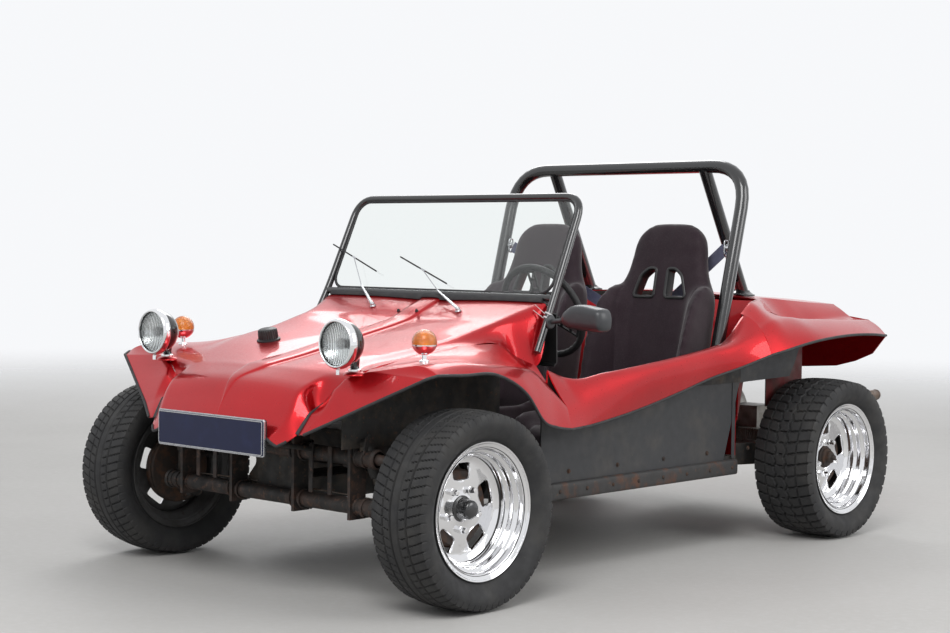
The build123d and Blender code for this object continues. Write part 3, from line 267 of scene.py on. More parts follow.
# grid (n, m, 3) carried down its normals by a depth and closed along its rim
def sheetShell(grid, depth):
    along = np.gradient(grid, axis=0)
    across = np.gradient(grid, axis=1)
    normal = np.cross(across, along)
    normal /= np.linalg.norm(normal, axis=2, keepdims=True) + 1e-12
    rows, cols = grid.shape[:2]
    below = grid - normal * depth
    top = gridQuads(rows, cols)
    bottom = top[:, ::-1] + rows * cols
    rim = np.concatenate([np.arange(cols), np.arange(1, rows) * cols + cols - 1,
                          (rows - 1) * cols + np.arange(cols - 2, -1, -1), np.arange(rows - 2, 0, -1) * cols])
    after = np.roll(rim, -1)
    wall = np.stack([rim, after, after + rows * cols, rim + rows * cols], 1)
    points = np.concatenate([grid.reshape(-1, 3), below.reshape(-1, 3)])
    return closedShell(points, [top, bottom, wall])


# quadratic curve from start to end, drawn towards the corner:
# start * (1 - t)^2 + corner * 2t(1 - t) + end * t^2
def bowed(start, corner, end, t):
    return start * (1 - t) ** 2 + corner * 2 * t * (1 - t) + end * t ** 2


# one corner rounded by a curve between the points at the reach before and after it, or a share of its shorter side
def roundedCorner(before, corner, after, reach, share, steps):
    back, ahead = before - corner, after - corner
    lengths = np.linalg.norm(back), np.linalg.norm(ahead)
    reach = min(reach, share * min(lengths))
    t = np.linspace(0, 1, steps)[:, None]
    return bowed(corner + back / lengths[0] * reach, corner, corner + ahead / lengths[1] * reach, t)


# open path with its inner corners rounded
def roundedPath(corners, radius, steps=9):
    corners = np.asarray(corners, float)
    triples = zip(corners, corners[1:], corners[2:])
    return np.concatenate([corners[:1], *[roundedCorner(*triple, radius, 0.5, steps) for triple in triples],
                           corners[-1:]])


# closed outline with all its corners rounded
def closedRounded(corners, reaches, steps=7):
    corners = np.asarray(corners, float)
    reaches = np.broadcast_to(reaches, len(corners))
    rows = zip(np.roll(corners, 1, 0), corners, np.roll(corners, -1, 0), reaches)
    return np.concatenate([roundedCorner(*row, 0.48, steps) for row in rows])


# a section (k, 2) carried along a path: point = path + side * u + up * v, with the side turned on least twist
def carried(path, section, closed=False, up=(0, 0, 1), scale=None):
    path = np.asarray(path, float)
    if closed:
        ahead = np.roll(path, -1, 0) - np.roll(path, 1, 0)
    else:
        ahead = np.gradient(path, axis=0)
    ahead /= np.linalg.norm(ahead, axis=1, keepdims=True)
    ups = np.empty_like(path)
    current = np.asarray(up, float)
    for k, direction in enumerate(ahead):
        current = current - direction * current.dot(direction)
        if np.linalg.norm(current) < 1e-6:
            current = np.cross(direction, (0.3, 0.5, 0.8))
        ups[k] = current = unit(current)
    side = np.cross(ahead, ups)
    width = np.ones(len(path)) if scale is None else np.asarray(scale, float)
    points = path[:, None] + width[:, None, None] * (side[:, None] * section[None, :, :1]
                                                     + ups[:, None] * section[None, :, 1:])
    rows, cols = points.shape[:2]
    return closedCaps(points.reshape(-1, 3), rows, cols, closed)


# tube walls with flat end caps, all faces outwards
def closedCaps(points, rows, cols, closed):
    faces = [gridQuads(rows, cols, closed, True)]
    if not closed:
        faces += [np.arange(cols)[None, :], (rows - 1) * cols + np.arange(cols)[None, ::-1]]
    return closedShell(points, faces)


# angles spread evenly round one turn
def fullTurn(steps):
    return np.linspace(0, 2 * np.pi, steps, endpoint=False)


# points of a circle, radius * (cos, sin)
def ring(radius, sides=14):
    angle = fullTurn(sides)
    return radius * np.stack([np.cos(angle), np.sin(angle)], 1)


# a circle of the radius carried along the corners, with the bend rounding them
def tube(corners, radius, bend=0.0, sides=14, up=(0, 0, 1)):
    path = roundedPath(corners, bend) if bend else np.asarray(corners, float)
    return carried(path, ring(radius, sides), up=up)


# section of a flat bar with half sizes a and b
def flatBar(a, b):
    return np.array([(-a, -b), (-a, b), (a, b), (a, -b)])


# the vector over its length
def unit(vector):
    return vector / np.linalg.norm(vector)


# a profile (k, 2) of (distance along the axis, radius) turned about the axis through the centre
def turned(profile, centre, axis, steps=64, closedProfile=False):
    profile = np.asarray(profile, float)
    axis = unit(np.asarray(axis, float))
    first = unit(np.cross(axis, (0.13, 0.21, 1.0) if abs(axis[2]) < 0.9 else (0, 1, 0)))
    second = np.cross(axis, first)
    angle = fullTurn(steps)[:, None, None]
    spoke = np.cos(angle) * first + np.sin(angle) * second
    points = np.asarray(centre) + profile[None, :, :1] * axis + np.maximum(profile[None, :, 1:], 0.0) * spoke
    cols = len(profile)
    points = points.reshape(-1, 3)
    faces = [gridQuads(steps, cols, True, closedProfile)]
    if not closedProfile:
        faces += [np.arange(steps)[None, ::-1] * cols, np.arange(steps)[None, :] * cols + cols - 1]
    return closedShell(points, faces)


# corner cutting: each inner corner becomes two points, share of the way along its edges
def softened(profile, rounds=2, share=0.22, closed=False):
    profile = np.asarray(profile, float)
    for _ in range(rounds):
        if closed:
            nextPoint = np.roll(profile, -1, 0)
            pair = np.stack([profile * (1 - share) + nextPoint * share, profile * share + nextPoint * (1 - share)], 1)
            profile = pair.reshape(-1, profile.shape[1])
        else:
            start, end = profile[:-1], profile[1:]
            pair = np.stack([start * (1 - share) + end * share, start * share + end * (1 - share)], 1)
            profile = np.concatenate([profile[:1], pair.reshape(-1, profile.shape[1])[1:-1], profile[-1:]])
    return profile


# a turned profile with its corners cut
def knob(profile, centre, axis, steps, rounds=2, share=0.2, closedProfile=False):
    return turned(softened(profile, rounds, share, closedProfile), centre, axis, steps, closedProfile)


# cubic through the rows with slopes weighted from both sides: smooth, close to the rows
def smoothRows(at, rows, where):
    at, rows, where = np.asarray(at, float), np.asarray(rows, float), np.asarray(where, float)
    gap = np.diff(at)
    step = np.diff(rows, axis=0) / gap[:, None]
    slope = np.empty_like(rows)
    slope[1:-1] = (gap[1:, None] * step[:-1] + gap[:-1, None] * step[1:]) / (gap[:-1] + gap[1:])[:, None]
    slope[0], slope[-1] = step[0], step[-1]
    k = np.clip(np.searchsorted(at, where, side="right") - 1, 0, len(at) - 2)
    t = ((where - at[k]) / gap[k])[:, None]
    low, high, width = rows[k], rows[k + 1], gap[k][:, None]
    return (low * (1 + 2 * t) * (1 - t) ** 2 + high * t ** 2 * (3 - 2 * t)
            + slope[k] * width * t * (1 - t) ** 2 - slope[k + 1] * width * t ** 2 * (1 - t))


# a new object of the scene with the data
def newObject(name, data):
    piece = bpy.data.objects.new(name, data)
    bpy.context.scene.collection.objects.link(piece)
    return piece


# the shell as a mesh, millimetre points to metres in the shared frame
def shellMesh(name, shell):
    mesh = bpy.data.meshes.new(name)
    mesh.from_pydata(inFrame(shell[0]).tolist(), [], [face for block in shell[1] for face in block.tolist()])
    return mesh


# smooth faces, apart from edges that turn by more than the angle in degrees
def shadeSmooth(mesh, sharp):
    mesh.polygons.foreach_set("use_smooth", np.ones(len(mesh.polygons), bool))
    mesh.set_sharp_from_angle(angle=np.radians(sharp))


# makes the object with its poles welded and lets it ride on its body; blocks is the material number
# of each block of faces, taken in turn
def addPiece(name, shell, material, slotName, body="chassis", stands=(), sharp=35.0, extra=(), blocks=(0,)):
    mesh = shellMesh(name, shell)
    for entry in (material, *extra):
        mesh.materials.append(entry)
    number = [np.full(len(block), blocks[k % len(blocks)]) for k, block in enumerate(shell[1])]
    mesh.polygons.foreach_set("material_index", np.concatenate(number))
    weld = bmesh.new()
    weld.from_mesh(mesh)
    bmesh.ops.remove_doubles(weld, verts=weld.verts, dist=2e-6)
    bmesh.ops.delete(weld, geom=[edge for edge in weld.edges if not edge.link_faces], context="EDGES")
    weld.to_mesh(mesh)
    weld.free()
    shadeSmooth(mesh, sharp)
    mesh.update()
    piece = newObject(name, mesh)
    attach(piece, body)
    if stands:
        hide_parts(*stands)
    return piece


# the piece on the left and its mirror image on the right; SIDE in a body or node becomes the side's name
def bothSides(name, shell, *rest, body="chassis", stands="", **more):
    for side, form in (("left", shell), ("right", mirrored(shell))):
        sideBody = body.replace("SIDE", side)
        nodes = tuple(node.replace("SIDE", side) for node in stands.split()) if stands else ()
        addPiece(name + side.capitalize(), form, *rest, body=sideBody, stands=nodes, **more)


# camera, floor and light
shot = {"place": (4.3416, -5.0232, 1.0790), "yaw": -0.743, "pitch": -0.038, "roll": 0.013, "focal": 67.98}
ahead = Vector((np.sin(shot["yaw"]) * np.cos(shot["pitch"]), np.cos(shot["yaw"]) * np.cos(shot["pitch"]),
                np.sin(shot["pitch"])))
level = Vector((np.cos(shot["yaw"]), -np.sin(shot["yaw"]), 0.0))
over = level.cross(ahead)
right = np.cos(shot["roll"]) * level + np.sin(shot["roll"]) * over
top = -np.sin(shot["roll"]) * level + np.cos(shot["roll"]) * over
lens = bpy.data.cameras.new("camera")
lens.lens, lens.sensor_width = shot["focal"], 36.0
camera = newObject("camera", lens)
turn = Matrix((right, top, -ahead)).transposed().to_4x4()
camera.matrix_world = Matrix.Translation(shot["place"]) @ turn
bpy.context.scene.camera = camera

floorSize = 30.0
mesh = bpy.data.meshes.new("floor")
mesh.from_pydata([(-floorSize, -floorSize, 0), (floorSize, -floorSize, 0), (floorSize, floorSize, 0),
                  (-floorSize, floorSize, 0)], [], [(0, 1, 2, 3)])
floorFinish = finish("floorFinish", (0.60, 0.59, 0.57), (0.55, 0.7),
                     tints=[(0.8, (0.4, 0.7), (0.56, 0.55, 0.53)), (40.0, (0.5, 0.8), (0.62, 0.61, 0.60))],
                     bumps=[("noise", 90.0, 0.05, 0.001)])
tree = floorFinish.node_tree
place = addNode(tree, "ShaderNodeTexCoord").outputs["Object"]
away = addNode(tree, "ShaderNodeVectorMath", {0: place}, operation="LENGTH")
fade = addNode(tree, "ShaderNodeMapRange", {"Value": away.outputs["Value"], "From Min": 4.0, "From Max": 13.0},
               interpolation_type="SMOOTHSTEP")
clear = addNode(tree, "ShaderNodeBsdfTransparent")
solid = tree.nodes["Principled BSDF"].outputs["BSDF"]
faded = addNode(tree, "ShaderNodeMixShader", {0: fade.outputs["Result"], 1: solid, 2: clear.outputs["BSDF"]})
tree.links.new(faded.outputs["Shader"], tree.nodes["Material Output"].inputs["Surface"])
mesh.materials.append(floorFinish)
floor = newObject("floor", mesh)

lamps = [("key", (3.5, -5.5, 6.5), 4.0, 340.0), ("fill", (6.5, 2.0, 4.0), 4.0, 170.0),
         ("back", (-5.0, 5.0, 6.0), 4.0, 180.0)]
for name, place, size, power in lamps:
    light = bpy.data.lights.new(name, "AREA")
    light.size, light.energy = size, power
    lamp = newObject(name, light)
    lamp.location = place
    lamp.rotation_euler = (Vector((0, 0, 0.5)) - Vector(place)).to_track_quat("-Z", "Y").to_euler()

world = bpy.data.worlds.new("studio")
bpy.context.scene.world = world
world.use_nodes = True
tree = world.node_tree
backdrop = tree.nodes["Background"]
backdrop.inputs["Color"].default_value = (0.93, 0.94, 0.96, 1)
rays = addNode(tree, "ShaderNodeLightPath")
seen = addNode(tree, "ShaderNodeMath", {0: rays.outputs["Is Camera Ray"], 1: rays.outputs["Is Glossy Ray"]},
               operation="MAXIMUM")
seenThrough = addNode(tree, "ShaderNodeMath", {0: seen.outputs[0], 1: rays.outputs["Is Transmission Ray"]},
                      operation="MAXIMUM")
strength = addNode(tree, "ShaderNodeMapRange", {"Value": seenThrough.outputs[0], "To Min": 0.42, "To Max": 1.0})
tree.links.new(strength.outputs["Result"], backdrop.inputs["Strength"])
bpy.context.scene.view_settings.view_transform = "Standard"
print("camera, floor and light set")

# body panels: tables of stations in millimetres, read smoothly between their rows


# ribs in upright planes: each runs through its corners (along, height), and each stretch is
# bowed by bow * 4t(1 - t) to its left; neighbours are then averaged to round the corners
def ribGrid(origin, direction, corners, bows, counts, softness=3):
    pieces = []
    for k, count in enumerate(counts):
        start, end = corners[:, k], corners[:, k + 1]
        t = np.linspace(0, 1, count + 1)[1 if k else 0:]
        reach = end - start
        left = np.stack([-reach[:, 1], reach[:, 0]], 1) / (np.linalg.norm(reach, axis=1, keepdims=True) + 1e-9)
        bulge = (left * bows[:, k:k + 1])[:, None] * (4 * t * (1 - t))[None, :, None]
        pieces.append(start[:, None] + reach[:, None] * t[None, :, None] + bulge)
    rib = np.concatenate(pieces, 1)
    for _ in range(softness):
        rib[:, 1:-1] = (rib[:, :-2] + 2 * rib[:, 1:-1] + rib[:, 2:]) / 4
    flat = origin[:, None] + direction[:, None] * rib[..., :1]
    return np.concatenate([flat, rib[..., 1:]], 2)


# distance run along rows of points
def runLength(points):
    return np.concatenate([[0], np.cumsum(np.linalg.norm(np.diff(points, axis=0), axis=1))])


# ribs in planes across the body at the stations
def straightRibs(stations, corners, bows, counts, softness):
    origin = np.stack([np.zeros_like(stations), stations], 1)
    direction = np.tile((1.0, 0.0), (len(stations), 1))
    bows = np.broadcast_to(bows, (len(stations), len(counts)))
    return ribGrid(origin, direction, corners, bows, counts, softness)


skin = {"thickness": 4.5, "step": 12.0, "sideStep": 11.0, "archThickness": 4.0}
wallForm = {"sharp": 50, "extra": (dustyBlack,), "blocks": (0, 1, 0)}  # painted outside, dusty inside

# inner edge y, x, z; crest as a share of the way out, and its z; outer edge y, x, z; bow of the top
# and of the flank; hood beside the inner edge: centre z, shoulder x, z
frontRows = np.array([
    (-340, 345, 516, 0.50, 518, -342, 374, 517, 0, 0, 604, 309, 572),
    (-300, 356, 576, 0.47, 569, -301, 450, 557, 0, 0, 664, 312, 640),
    (-241, 350, 605, 0.29, 653, -259, 545, 606, 0, 0, 693, 322, 672),
    (-222, 390, 655, 0.14, 684, -212, 650, 659, 0, 0, 700, 326, 681),
    (-203, 445, 692, 0.21, 708, -179, 725, 697, 0, 0, 707, 330, 690),
    (-161, 470, 711, 0.70, 733, -150, 741, 706, 0, 4, 715, 345, 705),
    (-40, 480, 735, 0.77, 738, -40, 742, 703, 0, 6, 737, 392, 741),
    (122, 490, 764, 0.82, 729, 111, 741, 697, -4, 6, 772, 443, 775),
    (254, 500, 773, 0.83, 714, 254, 740, 628, -8, 7, 800, 453, 800),
    (375, 505, 771, 0.80, 697, 330, 738, 546, -12, 7, 826, 468, 832),
    (440, 515, 735, 0.84, 640, 420, 722, 517, -10, 4, 843, 479, 850),
    (500, 560, 700, 0.87, 577, 500, 712, 505, -6, 2, 870, 497, 870)], float)
# y, centre z, shoulder x, z, edge x, z
noseRows = [(-381, 509, 255, 500, 300, 480), (-356, 572, 300, 538, 333, 502)]
cowlRow = (585, 906, 528, 902, 534, 830)
spine = {"half": 47.0, "rise": 9.5, "start": -352.0, "full": -215.0, "side": 5.0, "crown": 1.5, "least": 0.03}

hoodRows = np.array([*noseRows, *[(row[0], *row[10:], row[1] - 0.6, row[2]) for row in frontRows], cowlRow])
hoodRun = runLength(hoodRows[:, :2])
where = np.unique(np.concatenate([np.arange(0, hoodRun[-1], skin["step"]), hoodRun[:4], hoodRun[-1:]]))
station, centreZ, shoulderX, shoulderZ, edgeX, edgeZ = smoothRows(hoodRun, hoodRows, where).T
share = np.clip((station - spine["start"]) / (spine["full"] - spine["start"]), spine["least"], 1)
footX, ridgeX = spine["half"] * share + 1, (spine["half"] - spine["side"]) * share
footZ, ridgeZ = centreZ - spine["rise"] * share, centreZ - spine["crown"] * share
half = [(edgeX, edgeZ), (shoulderX, shoulderZ), (footX, footZ), (ridgeX, ridgeZ)]
corners = np.stack([np.stack([-x, z], 1) for x, z in half] + [np.stack([x, z], 1) for x, z in half[::-1]], 1)
hoodGrid = straightRibs(station, corners, (-3, 4, 0, spine["crown"], 0, 4, -3), (6, 26, 3, 10, 3, 26, 6), 1)
addPiece("hoodPanel", sheetShell(hoodGrid, skin["thickness"]), redPaint, "body_paint", stands=("hood",), **wallForm)

crestXY = frontRows[:, [1, 0]] * (1 - frontRows[:, 3:4]) + frontRows[:, [6, 5]] * frontRows[:, 3:4]
fenderRun = runLength(np.column_stack([crestXY, frontRows[:, 4]]))
where = np.unique(np.concatenate([np.arange(0, fenderRun[-1], skin["step"]), fenderRun[:6], fenderRun[-1:]]))
row = smoothRows(fenderRun, frontRows, where)
creased = where <= fenderRun[5]
straight = np.stack([np.interp(where, fenderRun, frontRows[:, k]) for k in range(frontRows.shape[1])], 1)
row[creased] = straight[creased]
innerXY, outerXY = row[:, [1, 0]], row[:, [6, 5]]
reach = np.linalg.norm(outerXY - innerXY, axis=1)
corners = np.stack([np.stack([0 * reach, row[:, 2]], 1), np.stack([reach * row[:, 3], row[:, 4]], 1),
                    np.stack([reach, row[:, 7]], 1)], 1)
creaseRows = int(np.sum(where <= fenderRun[2] + 0.1))
fenderGrid = ribGrid(innerXY, (outerXY - innerXY) / reach[:, None], corners, row[:, 8:10], (22, 14), 3)
bothSides("frontFender", sheetShell(fenderGrid, skin["thickness"]), redPaint, "body_paint",
          stands="front_fender_SIDE", **wallForm)

# y, inner edge x, z, crest x, z, outer edge x, z, bow of the shoulder and of the flank
sideRows = np.array([
    (500, 560, 700, 692, 577, 712, 505, -6, 2),
    (609, 622, 664, 686, 583, 695, 508, 6, 2),
    (743, 640, 678, 682, 604, 683, 521, 8, 2),
    (936, 650, 696, 682, 646, 674, 549, 9, 3),
    (1135, 650, 714, 682, 685, 675, 590, 9, 4),
    (1342, 640, 737, 683, 720, 683, 638, 9, 5),
    (1452, 622, 752, 692, 745, 700, 661, 9, 5),
    (1600, 602, 851, 690, 800, 740, 705, 9, 6)], float)
sideWall = {"x": 604.0, "foot": 600.0}
where = np.arange(500, 1601, skin["sideStep"])
row = smoothRows(sideRows[:, 0], sideRows, where)
foot = np.stack([np.full_like(where, sideWall["x"]), np.minimum(sideWall["foot"], row[:, 2] - 60)], 1)
inner = np.stack([np.maximum(row[:, 1], sideWall["x"]), row[:, 2]], 1)
corners = np.stack([foot, inner, row[:, 3:5], row[:, 5:7]], 1)
sideBows = np.column_stack([np.zeros_like(where), row[:, 7:9]])
origin = np.stack([np.zeros_like(where), where], 1)
sideGrid = ribGrid(origin, np.tile((1.0, 0.0), (len(where), 1)), corners, sideBows, (7, 10, 10), 2)
bothSides("cockpitSide", sheetShell(sideGrid, skin["thickness"]), redPaint, "body_paint", stands="side_SIDE",
          **wallForm)

# y, deck edge x, z, valley x, z, crest x, z, outer edge x, z
rearRows = np.array([
    (1600, 602, 851, 645, 832, 690, 800, 740, 705),
    (1690, 580, 891, 622, 868, 688, 828, 757, 723),
    (1750, 555, 895, 600, 868, 680, 830, 765, 735),
    (1850, 505, 900, 565, 850, 660, 836, 775, 751),
    (1954, 450, 902, 530, 825, 640, 830, 775, 760),
    (2147, 450, 890, 530, 802, 630, 824, 760, 766),
    (2294, 450, 880, 530, 812, 630, 818, 745, 763),
    (2480, 455, 870, 530, 824, 620, 812, 703, 752)], float)
deck = {"front": 1850.0, "crown": 22.0, "gap": 0.6}
bulkheadEdge = {"lowY": 1595.0, "highY": 1844.4, "lowX": 593.0, "highX": 501.0, "lowZ": 450.0, "highZ": 893.0}
where = np.unique(np.concatenate([np.arange(1600, 2480, skin["sideStep"]), [deck["front"], 2480]]))
row = smoothRows(rearRows[:, 0], rearRows, where)
corners = row[:, 1:].reshape(len(where), 4, 2)
rearGrid = straightRibs(where, corners, (3, -4, 7), (9, 12, 12), 2)
share = (where - bulkheadEdge["lowY"]) / (bulkheadEdge["highY"] - bulkheadEdge["lowY"])
front = where <= deck["front"]
footX = bulkheadEdge["lowX"] + share * (bulkheadEdge["highX"] - bulkheadEdge["lowX"])
footZ = np.minimum(bulkheadEdge["lowZ"] + share * (bulkheadEdge["highZ"] - bulkheadEdge["lowZ"]), row[:, 2] - 16)
wallCorners = np.stack([np.stack([footX, footZ], 1), row[:, 1:3] - (0, 0.3)], 1)[front]
wallGrid = straightRibs(where[front], wallCorners, (0,), (16,), 0)
rearShell = together(sheetShell(rearGrid, skin["thickness"]), sheetShell(wallGrid, skin["thickness"]))
arch = {"x": 546.0, "low": 492.0, "from": 1856.0, "to": 2106.0, "above": 8, "steps": 12}
archY = np.linspace(arch["from"], arch["to"], arch["steps"])
archTop = np.interp(archY, where, row[:, 4]) + arch["above"]
archX = np.full_like(archY, arch["x"])
archGrid = np.stack([np.stack([archX, archY, np.full_like(archY, arch["low"])], 1),
                     np.stack([archX, archY, archTop], 1)], 1)
# paint outside, dusty black inside; one face each of the cockpit's rear wall and of the arch wall takes the darker
# red, which is painted shade with dust tints
bothSides("rearFender", together(rearShell, sheetShell(archGrid, skin["archThickness"])), redPaint, "body_paint",
          stands="rear_fender_SIDE", sharp=50, extra=(dustyBlack, dustyRed), blocks=(0, 1, 0, 0, 2, 0, 1, 2, 1))

behind = where >= deck["front"]
deckEdge = row[behind, 1] - deck["gap"]
deckCorners = np.stack([np.stack([-deckEdge, row[behind, 2]], 1), np.stack([deckEdge, row[behind, 2]], 1)], 1)
deckGrid = straightRibs(where[behind], deckCorners, (deck["crown"],), (48,), 0)
addPiece("deckPanel", sheetShell(deckGrid, skin["thickness"]), redPaint, "body_paint", stands=("rear_deck",),
         **wallForm)
print("body panels made")

# black rubber along the body's edges: a bead carried along each edge line
edges = {"frontOuter": (fenderGrid[:, -1], 5.0), "sideOuter": (sideGrid[:, -1], 4.6),
         "rearOuter": (rearGrid[:, -1], 5.0)}
for name, (line, radius) in edges.items():
    bothSides("trim" + name[0].upper() + name[1:], carried(line, ring(radius, 10)), trimRubber, "black_rubber")
creaseLine = fenderGrid[:creaseRows, 0]
bothSides("trimCrease", carried(creaseLine, ring(7.5, 10), scale=np.linspace(1, 0.35, creaseRows)), trimRubber,
          "black_rubber")
noseEdge = np.concatenate([hoodGrid[4::-1, 0], hoodGrid[0, 1:-1], hoodGrid[:5, -1]])
addPiece("trimNose", carried(noseEdge, ring(4.5, 10)), trimRubber, "black_rubber")
print("edges trimmed")

# wheels
frontWheel = {"name": "front", "track": 714.0, "station": 0.0, "width": 164.0, "tyreWidth": 210.0}
rearWheel = {"name": "rear", "track": 697.0, "station": 2030.0, "width": 206.0, "tyreWidth": 241.0}
rimForm = {"lip": 208.0, "seat": 190.5, "step": 177.0, "well": 165.0, "wall": 5.0, "recess": 100.0, "hub": 31.0,
           "windowIn": 88.0, "windowOut": 136.0, "windowHalf": 35.5, "flat": 7.0, "windows": 5, "phase": 18.0,
           "lugCircle": 65.0, "height": 300.0}


# x of the disc, sunk from the wheel's outer lip
def discPlace(wheel):
    return wheel["track"] + wheel["width"] / 2 - rimForm["recess"]


# barrel: closed profile of the tyre side and, a wall's thickness inside it, the polished side
def barrelShell(wheel):
    half, wall = wheel["width"] / 2, rimForm["wall"]
    outboard = [(half, rimForm["lip"]), (half - 4, rimForm["lip"]), (half - 8, rimForm["seat"]),
                (half - 30, rimForm["seat"]), (half - 36, rimForm["step"]), (half - 56, rimForm["step"]),
                (half - 62, rimForm["well"]), (-half + 45, rimForm["well"]), (-half + 30, rimForm["seat"]),
                (-half + 8, rimForm["seat"]), (-half + 4, rimForm["lip"]), (-half, rimForm["lip"])]
    inboard = [(x, r - wall) for x, r in reversed(outboard)]
    inboard[-1] = (half - 3, rimForm["lip"] - wall)
    inboard[-2:-2] = [(half - 14, rimForm["seat"] - wall + 2)]
    profile = softened(outboard + inboard, 2, 0.16, True)
    points, faces = turned(profile, (wheel["track"], wheel["station"], rimForm["height"]), (1, 0, 0), 128, True)
    behind = np.tile(profile[:, 0] < half - rimForm["recess"], 128)
    return points, [faces[0][~behind], faces[0][behind]]


# disc: five sectors, each a grid from its window's rounded outline out to the sector's border,
# where a ray from the window's centre meets the hub circle, the rim circle or the sector's sides
def discShell(wheel):
    inner, outer = rimForm["hub"] - 8.0, rimForm["well"] - rimForm["wall"] + 1.0
    centre = (rimForm["windowIn"] + rimForm["windowOut"]) / 2
    spread = np.pi / rimForm["windows"]
    tips = np.array([(r * np.cos(a) - centre, r * np.sin(a)) for r in (inner, outer) for a in (-spread, spread)])
    angle = np.unique(np.concatenate([np.linspace(-np.pi, np.pi, 96, endpoint=False),
                                      np.arctan2(tips[:, 1], tips[:, 0])]))
    ray = np.stack([np.cos(angle), np.sin(angle)], 1)
    windowHalf = (rimForm["windowOut"] - rimForm["windowIn"]) / 2
    taper = rimForm["windowHalf"] * (1 + 0.10 * np.cos(angle))
    window = (np.abs(ray[:, 0] / windowHalf) ** rimForm["flat"]
              + np.abs(ray[:, 1] / taper) ** rimForm["flat"]) ** (-1 / rimForm["flat"])
    along = ray[:, 0] * centre
    reachOut = -along + np.sqrt(along ** 2 - centre ** 2 + outer ** 2)
    inside = along ** 2 - centre ** 2 + inner ** 2
    reachIn = np.where((inside > 0) & (ray[:, 0] < 0), -along - np.sqrt(np.maximum(inside, 0)), 1e9)
    border = np.minimum(reachOut, reachIn)
    shared = np.zeros(len(angle), bool)
    for side in (-1, 1):
        slope = ray[:, 1] * np.cos(spread) - side * ray[:, 0] * np.sin(spread)
        with np.errstate(divide="ignore", invalid="ignore"):
            reach = side * centre * np.sin(spread) / slope
        meets = (reach > 0) & np.isfinite(reach) & (reach < border + 0.01)
        border = np.where(meets, np.minimum(border, reach), border)
        shared |= meets
    share = np.array([0, 0.03, 0.08, 0.16, 0.3, 0.5, 0.75, 1.0])
    reach = window[:, None] + (border - window)[:, None] * share
    flat = np.stack([centre + reach * ray[:, :1], reach * ray[:, 1:]], -1)
    radius = np.hypot(flat[..., 0], flat[..., 1])
    level = (discPlace(wheel) + 4 + 5 * np.clip((60 - radius) / 30, 0, 1) ** 2
             + 12 * np.clip((radius - 141) / 22, 0, 1) ** 1.5)
    roll = 5.0 * (1 - np.clip(share / 0.10, 0, 1)) ** 2
    shells = []
    for k in range(rimForm["windows"]):
        turn = np.radians(rimForm["phase"] + 360 / rimForm["windows"] * k)
        u = flat[..., 0] * np.cos(turn) - flat[..., 1] * np.sin(turn)
        v = flat[..., 0] * np.sin(turn) + flat[..., 1] * np.cos(turn)
        face = np.stack([level - roll, wheel["station"] + u, rimForm["height"] + v], -1)
        back = face - ((8.0 - roll * 0.6)[None, :, None] * np.array((1.0, 0, 0)))
        rows, cols = len(angle), len(share)
        loop = np.concatenate([face[:, ::-1], back], 1)
        points, faces = closedShell(loop.reshape(-1, 3), [gridQuads(rows, 2 * cols, True, True)])
        kept = np.ones((rows, 2 * cols), bool)
        kept[:, -1] = ~(shared & np.roll(shared, -1))
        behind = np.arange(rows * 2 * cols) % (2 * cols) >= cols
        shells.append((points, [faces[0][kept.ravel() & ~behind], faces[0][kept.ravel() & behind]]))
    return together(*shells)


# hexagon nut with a domed end, a turned profile of six steps
def lugNuts(wheel, radius, length):
    profile = [(0, 0.0), (0, radius * 1.25), (3, radius * 1.25), (4, radius), (length - 5, radius),
               (length - 1, radius * 0.75), (length, 0.0)]
    shells = []
    for k in range(rimForm["windows"]):
        turn = np.radians(rimForm["phase"] + 360 / rimForm["windows"] * (k + 0.5))
        spot = (discPlace(wheel) + 4, wheel["station"] + rimForm["lugCircle"] * np.cos(turn),
                rimForm["height"] + rimForm["lugCircle"] * np.sin(turn))
        shells.append(turned(profile, spot, (1, 0, 0), 6))
    return together(*shells)


hubs = {"front": [(-2, 0.0), (-2, 40), (2, 40), (4, 33), (8, 31.5), (38, 29), (45, 24), (48, 14), (49, 0.0)],
        "rear": [(-2, 0.0), (-2, 42), (3, 42), (5, 36), (14, 35), (16, 24), (30, 23), (32, 12), (44, 11), (45, 0.0)]}
for wheel in (frontWheel, rearWheel):
    name = wheel["name"]
    body = name + "_wheel_SIDE"
    spot = np.array((discPlace(wheel), wheel["station"], rimForm["height"]))
    bothSides(name + "Rim", together(barrelShell(wheel), discShell(wheel)), polished, "wheel_chrome", body=body,
              stands=name + "_rim_SIDE", sharp=40, extra=(dullAlloy,), blocks=(0, 1))
    bothSides(name + "Nuts", lugNuts(wheel, 10.0, 24.0), chrome, "wheel_chrome", body=body, sharp=30)
    hub = knob(hubs[name], spot + (8, 0, 0), (1, 0, 0), 48)
    bothSides(name + "Hub", hub, glossBlack if name == "front" else brakeIron, "wheel_chrome", body=body, sharp=40)
    drum = [(-52, 22.5), (-52, 118), (-48, 121), (-42, 121), (-40, 117), (-34, 117), (-32, 121), (-26, 121),
            (-24, 117), (-10, 117), (-4.5, 112), (-4.5, 22.5)]
    bothSides(name + "Drum", turned(drum, spot, (1, 0, 0), 72, True), brakeIron, "wheel_chrome", body=body, sharp=30)
print("wheels made")

tyreForm = {"radius": 300.0, "bead": 190.8, "flange": 212.0, "around": 560, "across": 64, "side": 13,
            "front": {"depth": 6.5, "grooves": (16.0, 47.0), "groove": 3.4, "pitch": 2 * np.pi / 66, "slant": 0.0011,
                      "slot": 2.2},
            "rear": {"depth": 9.0, "grooves": (22.0, 66.0), "groove": 4.5, "pitch": 2 * np.pi / 44, "slant": 0.00066,
                     "slot": 4.6}}


# smooth step from 0 to 1 between the edges low and high
def ramp(value, low, high):
    t = np.clip((value - low) / (high - low), 0, 1)
    return t * t * (3 - 2 * t)


